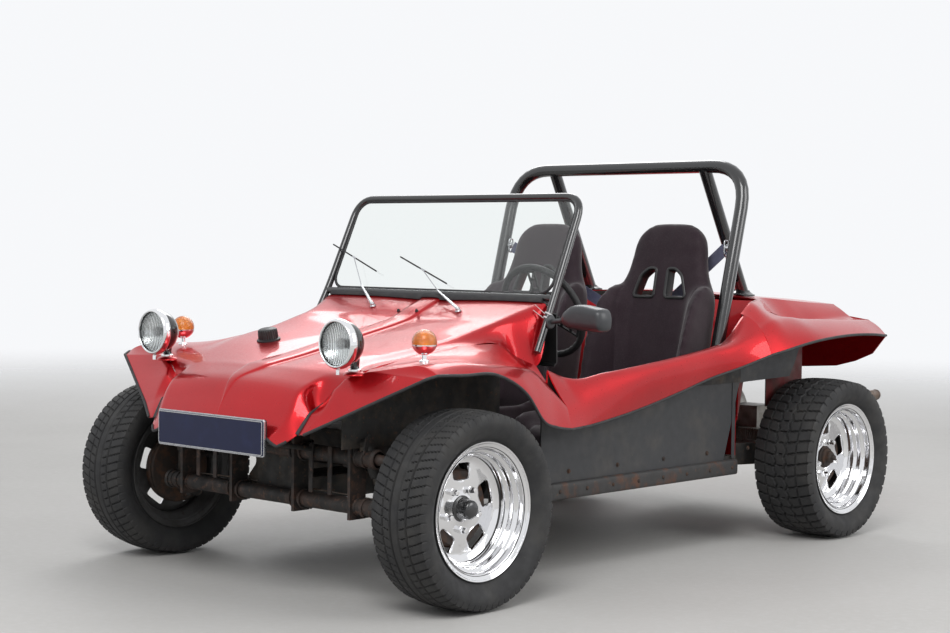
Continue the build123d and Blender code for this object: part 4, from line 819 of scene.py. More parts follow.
# how deep the tread is cut, 0..1, at the turn angle and the distance across from the middle
def treadCut(name, turn, across):
    form = tyreForm[name]
    cut = np.zeros(np.broadcast(turn, across).shape)
    for groove in form["grooves"]:
        wave = 0.0 if name == "front" or groove > 40 else 5.0 * np.abs(((turn / form["pitch"]) % 1) - 0.5) * 4 - 5.0
        gap = np.abs(np.abs(across) - groove - wave * np.sign(across))
        cut = np.maximum(cut, 1 - ramp(gap, form["groove"] * 0.55, form["groove"]))
    slant = turn + form["slant"] * np.abs(across) + 0.018 * (across > 0)
    place = np.abs(((slant / form["pitch"]) % 1) - 0.5) * form["pitch"] * tyreForm["radius"]
    slot = 1 - ramp(place, form["slot"] * 0.55, form["slot"])
    if name == "front":
        rib = ramp(np.abs(across), 40, 44) * (1 - ramp(np.abs(across), 50, 53))
        reach = ramp(np.abs(across), 20, 24) * (1 - 0.75 * rib)
    else:
        reach = ramp(np.abs(across), 26, 29)
        middle = np.abs((((turn / form["pitch"]) + 0.25) % 1) - 0.5) * form["pitch"] * tyreForm["radius"]
        cut = np.maximum(cut, (1 - ramp(middle + 0.25 * np.abs(across), 2.6, 4.6)) * (np.abs(across) < 30))
    return np.maximum(cut, slot * reach)


# tyre: across profile (x, r) of bead, straight flange, bulged side and crowned tread, turned
# about the axle; the tread's radius drops by its depth where the pattern is cut
def tyreShell(wheel):
    name, half, radius = wheel["name"], wheel["tyreWidth"] / 2, tyreForm["radius"]
    bead = wheel["width"] / 2 - 9
    shoulder = half - 22
    t = np.linspace(0, 1, tyreForm["side"])[:, None]
    start, middle, end = np.array([(bead + 2, tyreForm["flange"]), (half + 14, 252.0), (shoulder + 16, radius - 9)])
    side = bowed(start, middle, end, t)
    side[:, 0] += 0.9 * np.exp(-((side[:, 1] - 226) / 2.2) ** 2) + 0.9 * np.exp(-((side[:, 1] - 268) / 2.2) ** 2)
    across = np.linspace(shoulder + 11, -shoulder - 11, tyreForm["across"])
    crown = radius - 9.5 * (np.abs(across) / (shoulder + 11)) ** 2.6
    tread = np.stack([across, crown], 1)
    beads = np.array([(bead, tyreForm["bead"]), (bead + 1, 200.0)])
    outer = np.concatenate([beads, side, tread, side[::-1] * (-1, 1), beads[::-1] * (-1, 1)])
    inner = np.array([(-bead + 13, 191.0), (-half + 12, 250.0), (-shoulder + 8, radius - 20), (0, radius - 16),
                      (shoulder - 8, radius - 20), (half - 12, 250.0), (bead - 13, 191.0)])
    profile = np.concatenate([outer, inner])
    turn = fullTurn(tyreForm["around"])[:, None]
    x = np.broadcast_to(profile[:, 0], (len(turn), len(profile))).copy()
    r = np.broadcast_to(profile[:, 1], x.shape).copy()
    first = len(beads) + len(side)
    span = slice(first - 3, first + len(tread) + 3)
    r[:, span] -= tyreForm[name]["depth"] * treadCut(name, turn, x[:, span])
    points = np.stack([wheel["track"] + x, wheel["station"] + r * np.cos(turn),
                       tyreForm["radius"] + r * np.sin(turn)], -1)
    return closedShell(points.reshape(-1, 3), [gridQuads(len(turn), len(profile), True, True)])


for wheel in (frontWheel, rearWheel):
    bothSides(wheel["name"] + "Tyre", tyreShell(wheel), tyreRubber, "tyre", body=wheel["name"] + "_wheel_SIDE",
              stands=wheel["name"] + "_tyre_SIDE", sharp=28)
print("tyres made")


# centre and half size of a CAD node at rest, in millimetres with y as a station
def nodeSpot(node):
    low, high = (np.array(corner) * 1000 + (0, axleStation, 0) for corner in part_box(node))
    return (low + high) / 2, (high - low) / 2


# the grid's point nearest to (x, y) and the upward normal there
def surfaceSpot(grid, x, y):
    gap = np.hypot(grid[..., 0] - x, grid[..., 1] - y)
    i, j = np.unravel_index(np.argmin(gap), gap.shape)
    i, j = np.clip(i, 1, grid.shape[0] - 2), np.clip(j, 1, grid.shape[1] - 2)
    normal = unit(np.cross(grid[i, j + 1] - grid[i, j - 1], grid[i + 1, j] - grid[i - 1, j]))
    return grid[i, j] + normal * 0.3, normal * np.sign(normal[2])


# windscreen: a hoop of tube with a cross bar, the pane in a rubber channel
screen = {"foot": (557.6, 506.0, 744.0), "low": (546.0, 600.0, 918.0), "high": (540.0, 756.0, 1257.0), "tube": 12.5,
          "bend": 80.0, "pane": 5.0, "channel": 5.5, "corner": 52.0, "sealHalf": 520.0}
acrossPlane = np.array((-1, 1, 1))
hoop = [np.array(screen[k]) for k in ("foot", "low", "high")]
hoop += [corner * acrossPlane for corner in hoop[::-1]]
bar = [np.array(screen["low"]), np.array(screen["low"]) * acrossPlane]
screenTubes = together(tube(hoop, screen["tube"], screen["bend"], 20), tube(bar, screen["tube"] - 0.5, 0, 20))
addPiece("screenFrame", screenTubes, glossBlack, "frame_black", stands=("windshield_frame",), sharp=50)


# closed outline of a rectangle with rounded corners, going round once
def roundedOutline(halfWidth, halfHeight, radius, steps=8):
    corner = np.linspace(0, np.pi / 2, steps)
    arc = radius * np.stack([np.cos(corner), np.sin(corner)], 1) + (halfWidth - radius, halfHeight - radius)
    quarter = [arc, arc[::-1] * (-1, 1), -arc, arc[::-1] * (1, -1)]
    return np.concatenate(quarter)


lowSpot, highSpot = np.array((0, *screen["low"][1:])), np.array((0, *screen["high"][1:]))
paneUp = unit(highSpot - lowSpot)
paneOut = np.cross((1.0, 0, 0), paneUp)
paneCentre = (lowSpot + highSpot) / 2
paneWidth = screen["high"][0] - screen["tube"] - 2.0
paneHeight = np.linalg.norm(highSpot - lowSpot) / 2 - screen["tube"] - 1.0
outline = roundedOutline(paneWidth, paneHeight, screen["corner"])
line = paneCentre + outline[:, :1] * np.array((1.0, 0, 0)) + outline[:, 1:] * paneUp
panePoints = np.concatenate([line + paneOut * screen["pane"] / 2, line - paneOut * screen["pane"] / 2])
addPiece("screenPane", closedCaps(panePoints, 2, len(line), False), paneGlass, "glass",
         stands=("windshield_glass",), sharp=30)
addPiece("screenChannel", carried(line, ring(screen["channel"], 10), True, paneOut), trimRubber, "black_rubber")
# rubber seal from the hood's back edge up to the cross bar, a lofted strip of eight points a row
backEdge = hoodGrid[-1][np.abs(hoodGrid[-1][:, 0]) < screen["sealHalf"]]
foot = backEdge + (0, -6, 1.5)
head = backEdge * (1, 0, 0) + lowSpot
middle = (foot + head) / 2
seal = np.stack([foot, foot + (0, 0, 4), middle + (0, -5, 6), head + (0, -9, 3), head, middle + (0, 4, -4),
                 backEdge + (0, 3, -1.5), backEdge + (0, 0, -1.5)], 1)
addPiece("screenSeal", closedCaps(seal.reshape(-1, 3), len(seal), 8, False), trimRubber, "black_rubber", sharp=50)

# roll bar: hoop and two braces with foot plates
rollBar = {"foot": (567.0, 1401.6, 330.5), "top": (567.0, 1686.0, 1399.0), "tube": 24.5, "bend": 165.0,
           "braceX": 370.0, "braceFoot": 1940.0}
hoop = [np.array(rollBar[k]) for k in ("foot", "top")]
hoop += [corner * acrossPlane for corner in hoop[::-1]]
footPlate = [(0, 0.0), (0, 48), (7, 48), (9, 40), (16, 28), (22, 25), (22, 0.0)]
shells = [tube(hoop, rollBar["tube"], rollBar["bend"], 24, up=(1, 0, 0))]
for side in (-1, 1):
    base, normal = surfaceSpot(deckGrid, side * rollBar["braceX"], rollBar["braceFoot"])
    base = base + normal * 1.0
    head = np.array((side * rollBar["braceX"], rollBar["top"][1], rollBar["top"][2] - 10))
    shells.append(tube([head, base + normal * 6], rollBar["tube"] * 0.98, 0, 20, up=(1, 0, 0)))
    shells.append(knob(footPlate, base, normal, 40, share=0.15))
addPiece("rollHoop", together(*shells), glossBlack, "frame_black", stands=("roll_bar",), sharp=50)

# headlight: bowl, ring, reflector, bulb and lens about one axis, on a stalk held in a mound by a nut
lampForm = {"spot": (443.0, -274.0, 790.0), "foot": (452.0, -208.0, 700.3), "bowl": 71.0, "deep": 70.0,
            "dish": 64.0, "dishDeep": 38.0, "lens": 66.5, "bulge": 12.0}
spot, forward = np.array(lampForm["spot"]), np.array((0, -1.0, 0))
bowlAngle = np.linspace(0, np.pi / 2, 14)
bowl = np.stack([-16 - lampForm["deep"] * np.sin(bowlAngle), lampForm["bowl"] * np.cos(bowlAngle)], 1)
bowl[-1, 1] = 0.0
bowlInside = bowl[::-1] * (1, 0.975) + (2, 0)
bowl = np.concatenate([[(-4, lampForm["bowl"])], bowl, bowlInside, [(-4, lampForm["bowl"] - 2)]])
footSpot = np.array(lampForm["foot"])
stalkProfile = [(0, 0.0), (0, 17), (10, 17), (13, 15), (22, 13), (34, 15), (50, 15), (50, 0.0)]
stalk = knob(stalkProfile, footSpot, (0, 0, 1), 32)
bothSides("lampBowl", together(turned(bowl, spot, forward, 64, True), stalk), glossBlack, "lamp_chrome",
          stands="headlight_SIDE", sharp=40)
moundProfile = [(-8, 0.0), (-8, 36), (-1, 34), (5, 25), (6, 18), (6, 0.0)]
bothSides("lampMound", knob(moundProfile, footSpot, (0, 0, 1), 40), redPaint, "body_paint", sharp=50)
nutProfile = [(5, 14), (5, 20), (8, 21), (12, 20.5), (14, 18), (14, 14)]
bothSides("lampNut", turned(nutProfile, footSpot, (0, 0, 1), 36, True), chrome, "lamp_chrome", sharp=40)
ringProfile = [(8, 65.5), (10, 68), (9, 71), (2, 75), (-6, 76), (-14, 75.5), (-16, 73), (-14, 71), (-4, 70.5),
               (4, 66)]
bothSides("lampRing", knob(ringProfile, spot, forward, 72, 1, closedProfile=True), chrome, "lamp_chrome")
dishRadius = np.linspace(lampForm["dish"], 9, 12)
dish = np.stack([-42 + lampForm["dishDeep"] * (dishRadius / lampForm["dish"]) ** 2, dishRadius], 1)
dish = np.concatenate([dish, dish[::-1] - (1.5, 0)])
bothSides("lampDish", turned(dish, spot, forward, 56, True), lampSilver, "lamp_chrome")
bulb = [(-44, 0.0), (-44, 10), (-28, 10), (-27, 17), (-21, 17), (-14, 11), (-11, 0.0)]
bothSides("lampBulb", knob(bulb, spot, forward, 24, share=0.22), dullAlloy, "lamp_chrome")
lensRadius = np.linspace(lampForm["lens"], 0, 14)
lensOut = np.stack([1 + lampForm["bulge"] * (1 - (lensRadius / lampForm["lens"]) ** 2), lensRadius], 1)
lensIn = lensOut[::-1] - (3, 0)
bothSides("lampLens", turned(np.concatenate([lensOut, lensIn]), spot, forward, 72, True), lensGlass, "glass")
lampBolt = turned([(0, 0.0), (0, 6), (14, 6), (16, 4), (16, 0.0)], spot + (0, 6, -92), (0, 0, 1), 6)
bothSides("lampBolt", lampBolt, chrome, "lamp_chrome", sharp=30)

# indicator: amber globe in a chrome cup on a stalk
centre, halfSize = nodeSpot("indicator_left")
globe = {"radius": 38.5, "split": -0.25, "cup": 39.7, "cupEnd": -0.44 * np.pi}
top = centre + (0, 0, halfSize[2] - 39.0)
stalkEnd = 39.6 - halfSize[2] * 2
splitAngle = np.arcsin(globe["split"])
upper = np.linspace(np.pi / 2, splitAngle, 16)
amber = globe["radius"] * np.stack([np.sin(upper), np.cos(upper)], 1)
amber[0, 1] = 0.0
amber = np.concatenate([amber, [(amber[-1, 0], 0.0)]])
bothSides("indicatorGlobe", turned(amber, top, (0, 0, 1), 40), amberLens, "amber_lens", stands="indicator_SIDE",
          sharp=40)
lower = np.linspace(splitAngle, globe["cupEnd"], 16)
cup = globe["cup"] * np.stack([np.sin(lower), np.cos(lower)], 1)
cup = np.concatenate([[(cup[0, 0] + 2, 0.0), (cup[0, 0] + 2, cup[0, 1])], cup,
                      [(cup[-1, 0] - 6, 8), (stalkEnd + 6.4, 8), (stalkEnd + 3.9, 15), (stalkEnd, 16),
                       (stalkEnd, 0.0)]])
bothSides("indicatorCup", turned(cup, top, (0, 0, 1), 40), chrome, "lamp_chrome", sharp=40)
print("windscreen, roll bar and lamps made")


# turned profile whose radius swells by amount * cos(ribs * angle) where the flag is 1
def ribbedCap(profile, flags, ribs, amount, base, axis, steps=144):
    points, faces = turned(profile, (0, 0, 0), (0, 0, 1), steps)
    points = points.reshape(steps, len(profile), 3)
    angle = fullTurn(steps)[:, None]
    swell = amount * np.clip(np.cos(ribs * angle) * 2, -1, 1) * np.asarray(flags)[None, :]
    radius = np.hypot(points[..., 0], points[..., 1])
    scale = np.where(radius > 1e-6, (radius + swell) / np.maximum(radius, 1e-6), 1.0)
    points[..., :2] *= scale[..., None]
    side = unit(np.cross(axis, (0, 1.0, 0)))
    turn = np.stack([side, np.cross(axis, side), axis])
    return closedShell(points.reshape(-1, 3) @ turn + base, faces)


# two ribbed caps: name, node, panel, where, profile, which of its points are ribbed, how many ribs
caps = [("fuelCap", "fuel_cap", hoodGrid, (-250, 65),
         [(0, 0.0), (0, 40), (4, 40), (6, 36), (7, 33), (10, 33), (34, 31.5), (38, 30), (40, 26), (40, 0.0)],
         (0, 0, 0, 0, 0, 1, 1, 0, 0, 0), 24),
        ("deckCap", "deck_cap", deckGrid, (250, 2050),
         [(0, 0.0), (0, 36), (4, 36), (6, 30), (19, 29), (21, 26), (21, 0.0)], (0, 0, 0, 1, 1, 0, 0), 14)]
for name, node, grid, spot, profile, flags, ribs in caps:
    base, normal = surfaceSpot(grid, *spot)
    addPiece(name, ribbedCap(profile, flags, ribs, 1.2, base, normal), satinBlack, "black_plastic", stands=(node,),
             sharp=30)

# number plate: a blank plate with a raised silver border on a thin backing
plate = {"front": -397.9, "back": -381.4, "width": 255.0, "height": 56.0, "middle": 500.0, "border": 5.5}


# rounded rectangle as a block between two stations, its front edge bevelled
def plateBlock(less, radius, start, end, bevel):
    halfWidth, halfHeight = plate["width"] - less, plate["height"] - less
    outer = roundedOutline(halfWidth, halfHeight, radius)
    inner = roundedOutline(halfWidth - bevel, halfHeight - bevel, max(radius - bevel, 1.0))
    front, back = plate["front"] + start, plate["front"] + end
    rows = [np.column_stack([line[:, 0], np.full(len(line), y), line[:, 1] + plate["middle"]])
            for line, y in ((inner, front), (outer, front + bevel), (outer, back))]
    return closedCaps(np.concatenate(rows), 3, len(outer), False)


# each block: how much less than the plate on each side, corner radius, start and end behind the front, bevel
addPiece("plateBack", plateBlock(0, 8, 6, plate["back"] - plate["front"], 2), satinBlack, "black_plastic",
         stands=("number_plate",), sharp=30)
addPiece("plateEdge", plateBlock(-0.8, 8, 4.6, 11, 1), plateSilver, "plate_blue", sharp=30)
addPiece("plateFace", plateBlock(3, 7, 2.0, 6.2, 0.6), plateBlue, "plate_blue", sharp=30)
border = roundedOutline(plate["width"] - plate["border"], plate["height"] - plate["border"], 6)
line = np.column_stack([border[:, 0], np.full(len(border), plate["front"] + 2.2), border[:, 1] + plate["middle"]])
addPiece("plateBorder", carried(line, flatBar(1.44, 1.6), True, (0, -1, 0)), plateSilver, "plate_blue", sharp=30)
print("caps and plate made")


# closed outline moved inwards along the bisectors of its sides
def drawnIn(outline, amount):
    along = np.roll(outline, -1, 0) - np.roll(outline, 1, 0)
    along /= np.linalg.norm(along, axis=1, keepdims=True)
    area = np.sum(outline[:, 0] * np.roll(outline[:, 1], -1) - np.roll(outline[:, 0], -1) * outline[:, 1])
    return outline + np.stack([-along[:, 1], along[:, 0]], 1) * amount * np.sign(area)


# outlines stacked at depths: point = origin + u * x + v * y + w * depth, with flat ends
def stacked(outlines, depths, origin, u, v, w):
    u, v, w = (np.asarray(axis, float) for axis in (u, v, w))
    rows = [np.asarray(origin, float) + line[:, :1] * u + line[:, 1:] * v + w * depth
            for line, depth in zip(outlines, depths)]
    return closedCaps(np.concatenate(rows), len(rows), len(rows[0]), False)


# one outline stacked in layers of (depth, how far it is drawn in)
def layered(outline, layers, origin, frame):
    return stacked([drawnIn(outline, inset) for _, inset in layers], [depth for depth, _ in layers], origin, *frame)


crossFrame = ((0, 1, 0), (0, 0, 1), (1, 0, 0))  # an outline of (y, z) stacked along x
frontFrame = ((1, 0, 0), (0, 0, 1), (0, 1, 0))  # an outline of (x, z) stacked along y

# seats: back, cushion and two wings of stacked outlines, grown together by a remesh and swollen by a cloth
seatForm = {"x": 303.0, "half": 235.5, "back": (1413.0, 450.0), "tilt": 11.0, "voxel": 0.0122, "swell": 7.0,
            "pressure": 4.0, "frames": 20, "cast": 200.0, "seam": 148.0, "seamDeep": 3.2, "seamWide": 4.5,
            "rest": 328.6}
lean = np.radians(seatForm["tilt"])
backFoot = np.array((seatForm["x"], *seatForm["back"]))
backUp, backAhead = np.array((0, np.sin(lean), np.cos(lean))), np.array((0, -np.cos(lean), np.sin(lean)))
halfBack = [(226, 0), (233, 10), (233, 440), (231, 476), (219, 505), (203, 534), (190, 562), (180, 594), (173, 630),
            (166, 672), (154, 706), (132, 732), (100, 753), (60, 763)]
backLine = softened([*halfBack, *[(-x, z) for x, z in reversed(halfBack)]], 2, 0.22, True)
backLayers = [(-4, 46), (-5, 30), (-9, 17), (-17, 8), (-30, 3), (-52, 5), (-66, 14), (-75, 30)]
backFrame = ((1, 0, 0), backUp, backAhead)
backShell = layered(backLine, backLayers, backFoot, backFrame)
cushionLine = closedRounded([(908, 333), (908, 416), (942, 446), (1280, 406), (1413, 422), (1468, 505), (1484, 333)],
                            22, 5)
cushionLayers = [(-229, 14), (-222, 4), (-110, 1), (0, -3), (110, 1), (222, 4), (229, 14)]
cushionShell = layered(cushionLine, cushionLayers, (seatForm["x"], 0, 0), crossFrame)
# wing outlines of (y, z): its full height at the side, and where it flattens out inside
wingFull = np.array([(912, 402), (926, 478), (995, 502), (1215, 498), (1288, 570), (1316, 700), (1342, 790),
                     (1370, 850), (1406, 904), (1450, 938), (1492, 956), (1528, 952), (1546, 920), (1440, 430)])
wingFlat = np.array([(914, 396), (932, 430), (995, 430), (1250, 404), (1404, 446), (1462, 700), (1481, 790),
                     (1493, 850), (1503, 904), (1512, 934), (1518, 946), (1534, 944), (1548, 916), (1442, 420)])
# x from the seat's middle, share of the flat outline, how far it is drawn in
wingLayers = [(124, 1.0, 0), (146, 0.9, 0), (168, 0.66, 0), (188, 0.36, 0), (204, 0.15, 0), (216, 0.04, 1),
              (225, 0.0, 3), (230, 0.0, 12)]
wingLines = [drawnIn(softened(wingFull * (1 - flat) + wingFlat * flat, 3, 0.22, True), inset)
             for _, flat, inset in wingLayers]
wingShell = stacked(wingLines, [x for x, _, _ in wingLayers], (0, 0, 0), *crossFrame)
wings = [(points + (seatForm["x"], 0, 0), faces) for points, faces in (wingShell, mirrored(wingShell))]
seatBase = together(backShell, cushionShell, *wings)


# the mesh as its modifiers leave it, the modifiers then taken off
def settle(piece):
    seen = piece.evaluated_get(bpy.context.evaluated_depsgraph_get())
    mesh = bpy.data.meshes.new_from_object(seen)
    piece.modifiers.clear()
    piece.data = mesh


# the vertices' places or normals as rows
def vertexRows(vectors, kind="co"):
    rows = np.empty(len(vectors) * 3)
    vectors.foreach_get(kind, rows)
    return rows.reshape(-1, 3)


seatPad = newObject("seatPad", shellMesh("seatPad", seatBase))
remesh = seatPad.modifiers.new("grow", "REMESH")
remesh.mode, remesh.voxel_size = "VOXEL", seatForm["voxel"]
relax = seatPad.modifiers.new("relax", "SMOOTH")
relax.factor, relax.iterations = 0.5, 7
settle(seatPad)
before = vertexRows(seatPad.data.vertices)
cloth = seatPad.modifiers.new("cloth", "CLOTH")
cloth.settings.use_pressure = True
cloth.settings.uniform_pressure_force = seatForm["pressure"]
cloth.settings.effector_weights.gravity = 0.0
cloth.point_cache.frame_start, cloth.point_cache.frame_end = 1, seatForm["frames"]
for step in range(1, seatForm["frames"] + 1):
    bpy.context.scene.frame_set(step)
settle(seatPad)
bpy.context.scene.frame_set(1)
after = vertexRows(seatPad.data.vertices)
move = after - before
far = np.linalg.norm(move, axis=1, keepdims=True)
after = before + move * np.minimum(1, seatForm["swell"] * 0.001 / np.maximum(far, 1e-9))
seatPad.data.vertices.foreach_set("co", after.ravel())
subdivide = seatPad.modifiers.new("subdivide", "SUBSURF")
subdivide.levels = subdivide.render_levels = 1
settle(seatPad)

# seam: a groove down the inner foot of each wing, where the pad faces ahead or up
spots = vertexRows(seatPad.data.vertices) * 1000 + (0, axleStation, 0)
normals = vertexRows(seatPad.data.vertex_normals, "vector")
offCentre = np.abs(spots[:, 0] - seatForm["x"])
height = (spots - backFoot) @ backUp
facing = np.clip(normals @ backAhead, 0, 1) + np.clip(normals[:, 2], 0, 1) * (spots[:, 1] < 1400)
seamSpot = seatForm["seam"] + 0.08 * np.clip(height - 200, 0, 400)
wingSeam = np.exp(-((offCentre - seamSpot) / seatForm["seamWide"]) ** 2) * (height < 500)
spots -= normals * (seatForm["seamDeep"] * wingSeam * np.clip(facing * 1.6, 0, 1))[:, None]
spots[:, 0] = seatForm["x"] + np.clip(spots[:, 0] - seatForm["x"], -seatForm["half"], seatForm["half"])
spots[:, 2] = np.maximum(spots[:, 2], seatForm["rest"])
seatPad.data.vertices.foreach_set("co", inFrame(spots).ravel())
seatPad.data.update()

# two slots for shoulder belts through the back, each with a black sleeve whose flanges lie on both faces
slotLine = closedRounded([(29, 467), (117, 467), (91, 545), (60, 570), (29, 570)], 11, 6)
slotSides = [slotLine, slotLine[::-1] * (-1, 1)]
pocket = closedRounded([(-158, 438), (158, 438), (124, 612), (-124, 612)], 34, 9)
pocketCut = layered(pocket, [(-37, 7), (-39, 2), (-46, 0), (-110, -14)], backFoot, backFrame)
slotCut = together(*[layered(line, [(60, 0), (-60, 0)], backFoot, backFrame) for line in slotSides])
for name, form in (("pocketCutter", pocketCut), ("slotCutter", slotCut)):
    cutter = newObject(name, shellMesh(name, form))
    cut = seatPad.modifiers.new("cut", "BOOLEAN")
    cut.operation, cut.solver, cut.object = "DIFFERENCE", "EXACT", cutter
    pad = BVHTree.FromObject(seatPad, bpy.context.evaluated_depsgraph_get())
    settle(seatPad)
    bpy.data.objects.remove(cutter)


# depth of the pad's face before (sign 1) or behind (sign -1) each point of a slot, evened to a plane;
# the rays start well clear of the pad
def faceDepth(line, sign):
    depth = []
    for x, up in line:
        spot = backFoot + np.array((x, 0, 0)) + backUp * up
        start = spot + backAhead * seatForm["cast"] * sign
        hit = pad.ray_cast(Vector(inFrame(start)), Vector(-backAhead * sign))
        depth.append(seatForm["cast"] * sign - hit[3] * 1000 * sign)
    base = np.column_stack([line, np.ones(len(line))])
    return base @ np.linalg.lstsq(base, np.array(depth), rcond=None)[0]


sleeves = []
for line in slotSides:
    wide = drawnIn(line, -8.5)
    front, rear = faceDepth(wide, 1), faceDepth(wide, -1)
    section = [(-8.5, front - 3), (-9.5, front + 1.5), (-8, front + 3.4), (-2, front + 4), (1.5, front + 2.5),
               (3, front - 2), (3, rear + 2), (1.5, rear - 1.5), (-2, rear - 3), (-8, rear - 2.4), (-9, rear - 1),
               (-8.5, rear + 3), (-1, rear + 5), (-1, front - 5)]
    rows = []
    for inset, depth in section:
        edge = drawnIn(line, inset)
        rows.append(backFoot + np.pad(edge[:, :1], ((0, 0), (0, 2))) + edge[:, 1:] * backUp
                    + depth[:, None] * backAhead)
    sleeves.append(closedCaps(np.concatenate(rows), len(rows), len(line), True))
for side in ("left", "right"):
    mesh = seatPad.data.copy()
    if side == "right":
        mesh.transform(Matrix.Scale(-1, 4, (1, 0, 0)))
        mesh.flip_normals()
    mesh.materials.clear()
    mesh.materials.append(seatHide)
    mesh.polygons.foreach_set("material_index", np.zeros(len(mesh.polygons), int))
    shadeSmooth(mesh, 50)
    seat = newObject("seatBucket" + side.capitalize(), mesh)
    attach(seat, "chassis")
    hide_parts("seat_" + side)
bpy.data.objects.remove(seatPad)
bothSides("seatSlots", together(*sleeves), satinBlack, "black_plastic", sharp=50)
print("seats made")

# belts: a steel guide on the hoop's leg, webbing drawn down behind the seat and its anchor
belt = {"guide": (542.2, 1604.4, 1092.0), "start": (530.2, 1604.4, 1092.0), "end": (60.0, 1778.7, 807.5),
        "anchor": (60.0, 1792.0, 800.0), "wall": (243.0, 443.0), "width": 45.0, "thickness": 1.5,
        "tucked": 0.016, "curl": 0.8}
guideSpot, start, end, anchorSpot = (np.array(belt[k]) for k in ("guide", "start", "end", "anchor"))
reach = end - start
length = np.linalg.norm(reach)
reach /= length
across = unit(np.cross(reach, (0, -1.0, 0)))
t = np.linspace(belt["tucked"], 1, 90)
width = np.linspace(-1, 1, 13)
curl = np.cross(across, reach)
grid = (start + t[:, None, None] * length * reach + width[None, :, None] * across * belt["width"] / 2
        + (belt["curl"] * (width ** 2)[None, :, None] * curl))
webbing = sheetShell(grid, belt["thickness"])
loop = closedRounded([(-11, -27), (11, -27), (11, 27), (-11, 27)], 9, 6)
frameLine = guideSpot + (-12.5, 0, 0) + np.pad(loop, ((0, 0), (1, 0)))
boss = knob([(0, 0.0), (0, 9), (8, 9), (9, 13), (11, 13), (12, 10), (16, 9), (17, 0.0)], guideSpot, (-1, 0, 0), 28)
bothSides("beltGuide", together(carried(frameLine, ring(3.0, 10), True, (1, 0, 0)), boss), plateSilver,
          "wheel_chrome", sharp=45)
anchorOut = np.cross((1.0, 0, 0), unit((0, *belt["wall"])))
anchorUp = np.cross(anchorOut, (1.0, 0, 0))
holder = closedRounded([(-29, -21), (29, -21), (29, 21), (-29, 21)], 9, 6)
anchorFrame = ((1, 0, 0), anchorUp, anchorOut)
anchorShell = layered(holder, [(0.4, 0), (15, 0), (18, 1.5), (19.5, 4)], anchorSpot, anchorFrame)
bothSides("beltAnchor", anchorShell, satinBlack, "black_plastic", sharp=40)
for side, form in (("left", webbing), ("right", mirrored(webbing))):
    strap = addPiece("beltWeb" + side.capitalize(), form, beltWeb, "belt_web", stands=("belt_" + side,))
print("belts made")

# wipers: a silver arm from each pivot, a thin wire from it to a black blade with a clip at its middle
# a row: pivot on the hood, knee of the wire, the blade's two ends on the glass
wiper = {"rows": [((-207, 499), (-353, 587, 942), (-575, 176), (-301, 72)),
                  ((212, 493), (32, 583, 933), (-202, 130), (65, 32))], "stand": 21.0}


# (across, up the glass) -> a point in front of the glass
def onGlass(x, up, stand=wiper["stand"]):
    return lowSpot + np.array((x, 0, 0)) + paneUp * up + paneOut * stand


pivotForm = [(0, 0.0), (0, 10.5), (5, 10.5), (7, 8), (14, 7), (17, 4.5), (18, 0.0)]
jetForm = [(0, 0.0), (0, 6.5), (2, 6.5), (4, 4.5), (8, 4), (9, 0.0)]
armForm = np.array([(-5.5, -1.8), (-4, 2.4), (4, 2.4), (5.5, -1.8)])
clipForm = np.array([(-3.4, -3.2), (-3.4, 3.6), (3.4, 3.6), (3.4, -3.2)])
bladeForm = np.array([(-1.6, 0.5), (-1.6, 3.0), (1.6, 3.0), (1.6, 0.5)])
rubberForm = np.array([(-2.6, -1.0), (-2.6, 0.6), (2.6, 0.6), (2.6, -1.0), (0.7, -2.0), (0.7, -4.3), (-0.7, -4.3),
                       (-0.7, -2.0)])
arms, blades, jets = [], [], []
for pivot, knee, left, right in wiper["rows"]:
    base, normal = surfaceSpot(hoodGrid, *pivot)
    knee, tips = np.array(knee, float), [onGlass(*left), onGlass(*right)]
    middle = (tips[0] + tips[1]) / 2
    arms.append(knob(pivotForm, base, normal, 28))
    head = base + normal * 12
    path = np.stack([head + (knee - head) * share for share in np.linspace(0, 1, 9)])
    arms.append(carried(path, armForm, scale=np.linspace(1.15, 0.55, 9)))
    arms.append(tube([head + (knee - head) * 0.93, knee, middle + paneOut * 4], 1.7, 12, 8))
    along = unit(tips[1] - tips[0])
    arms.append(carried([middle + along * reach for reach in (-13, -9, 9, 13)], clipForm, up=paneOut,
                        scale=[0.6, 1, 1, 0.6]))
    path = np.stack([tips[0] + (tips[1] - tips[0]) * share for share in np.linspace(0, 1, 25)])
    blades += [carried(path, form, up=paneOut) for form in (bladeForm, rubberForm)]
for spot in ((-59, 491), (30, 486)):
    base, normal = surfaceSpot(hoodGrid, *spot)
    jets.append(knob(jetForm, base, normal, 20))
addPiece("wiperArms", together(*arms), plateSilver, "wheel_chrome", sharp=40)
addPiece("wiperBlades", together(*blades), trimRubber, "black_rubber", stands=("wipers",), sharp=40)
addPiece("washerJets", together(*jets), satinBlack, "black_plastic", sharp=40)

# door mirror: a rounded wedge with its glass set into the back, on a ball arm from a pad at the screen's leg
mirror = {"middle": (738.0, 862.0), "pad": (565.8, 558.9, 842.0), "ball": (650.0, 547.0, 852.0), "ballRadius": 14.0,
          "half": (88.0, 44.0), "glass": (0.9, 0.82)}
mirrorLine = closedRounded([(640, 838), (640, 872), (676, 900), (716, 904), (806, 890), (815.5, 862), (812, 820),
                            (776, 816.5), (672, 822)], [14, 16, 20, 24, 20, 18, 20, 18, 20], 7)
mirrorMiddle, mirrorHalf = np.array(mirror["middle"]), np.array(mirror["half"])
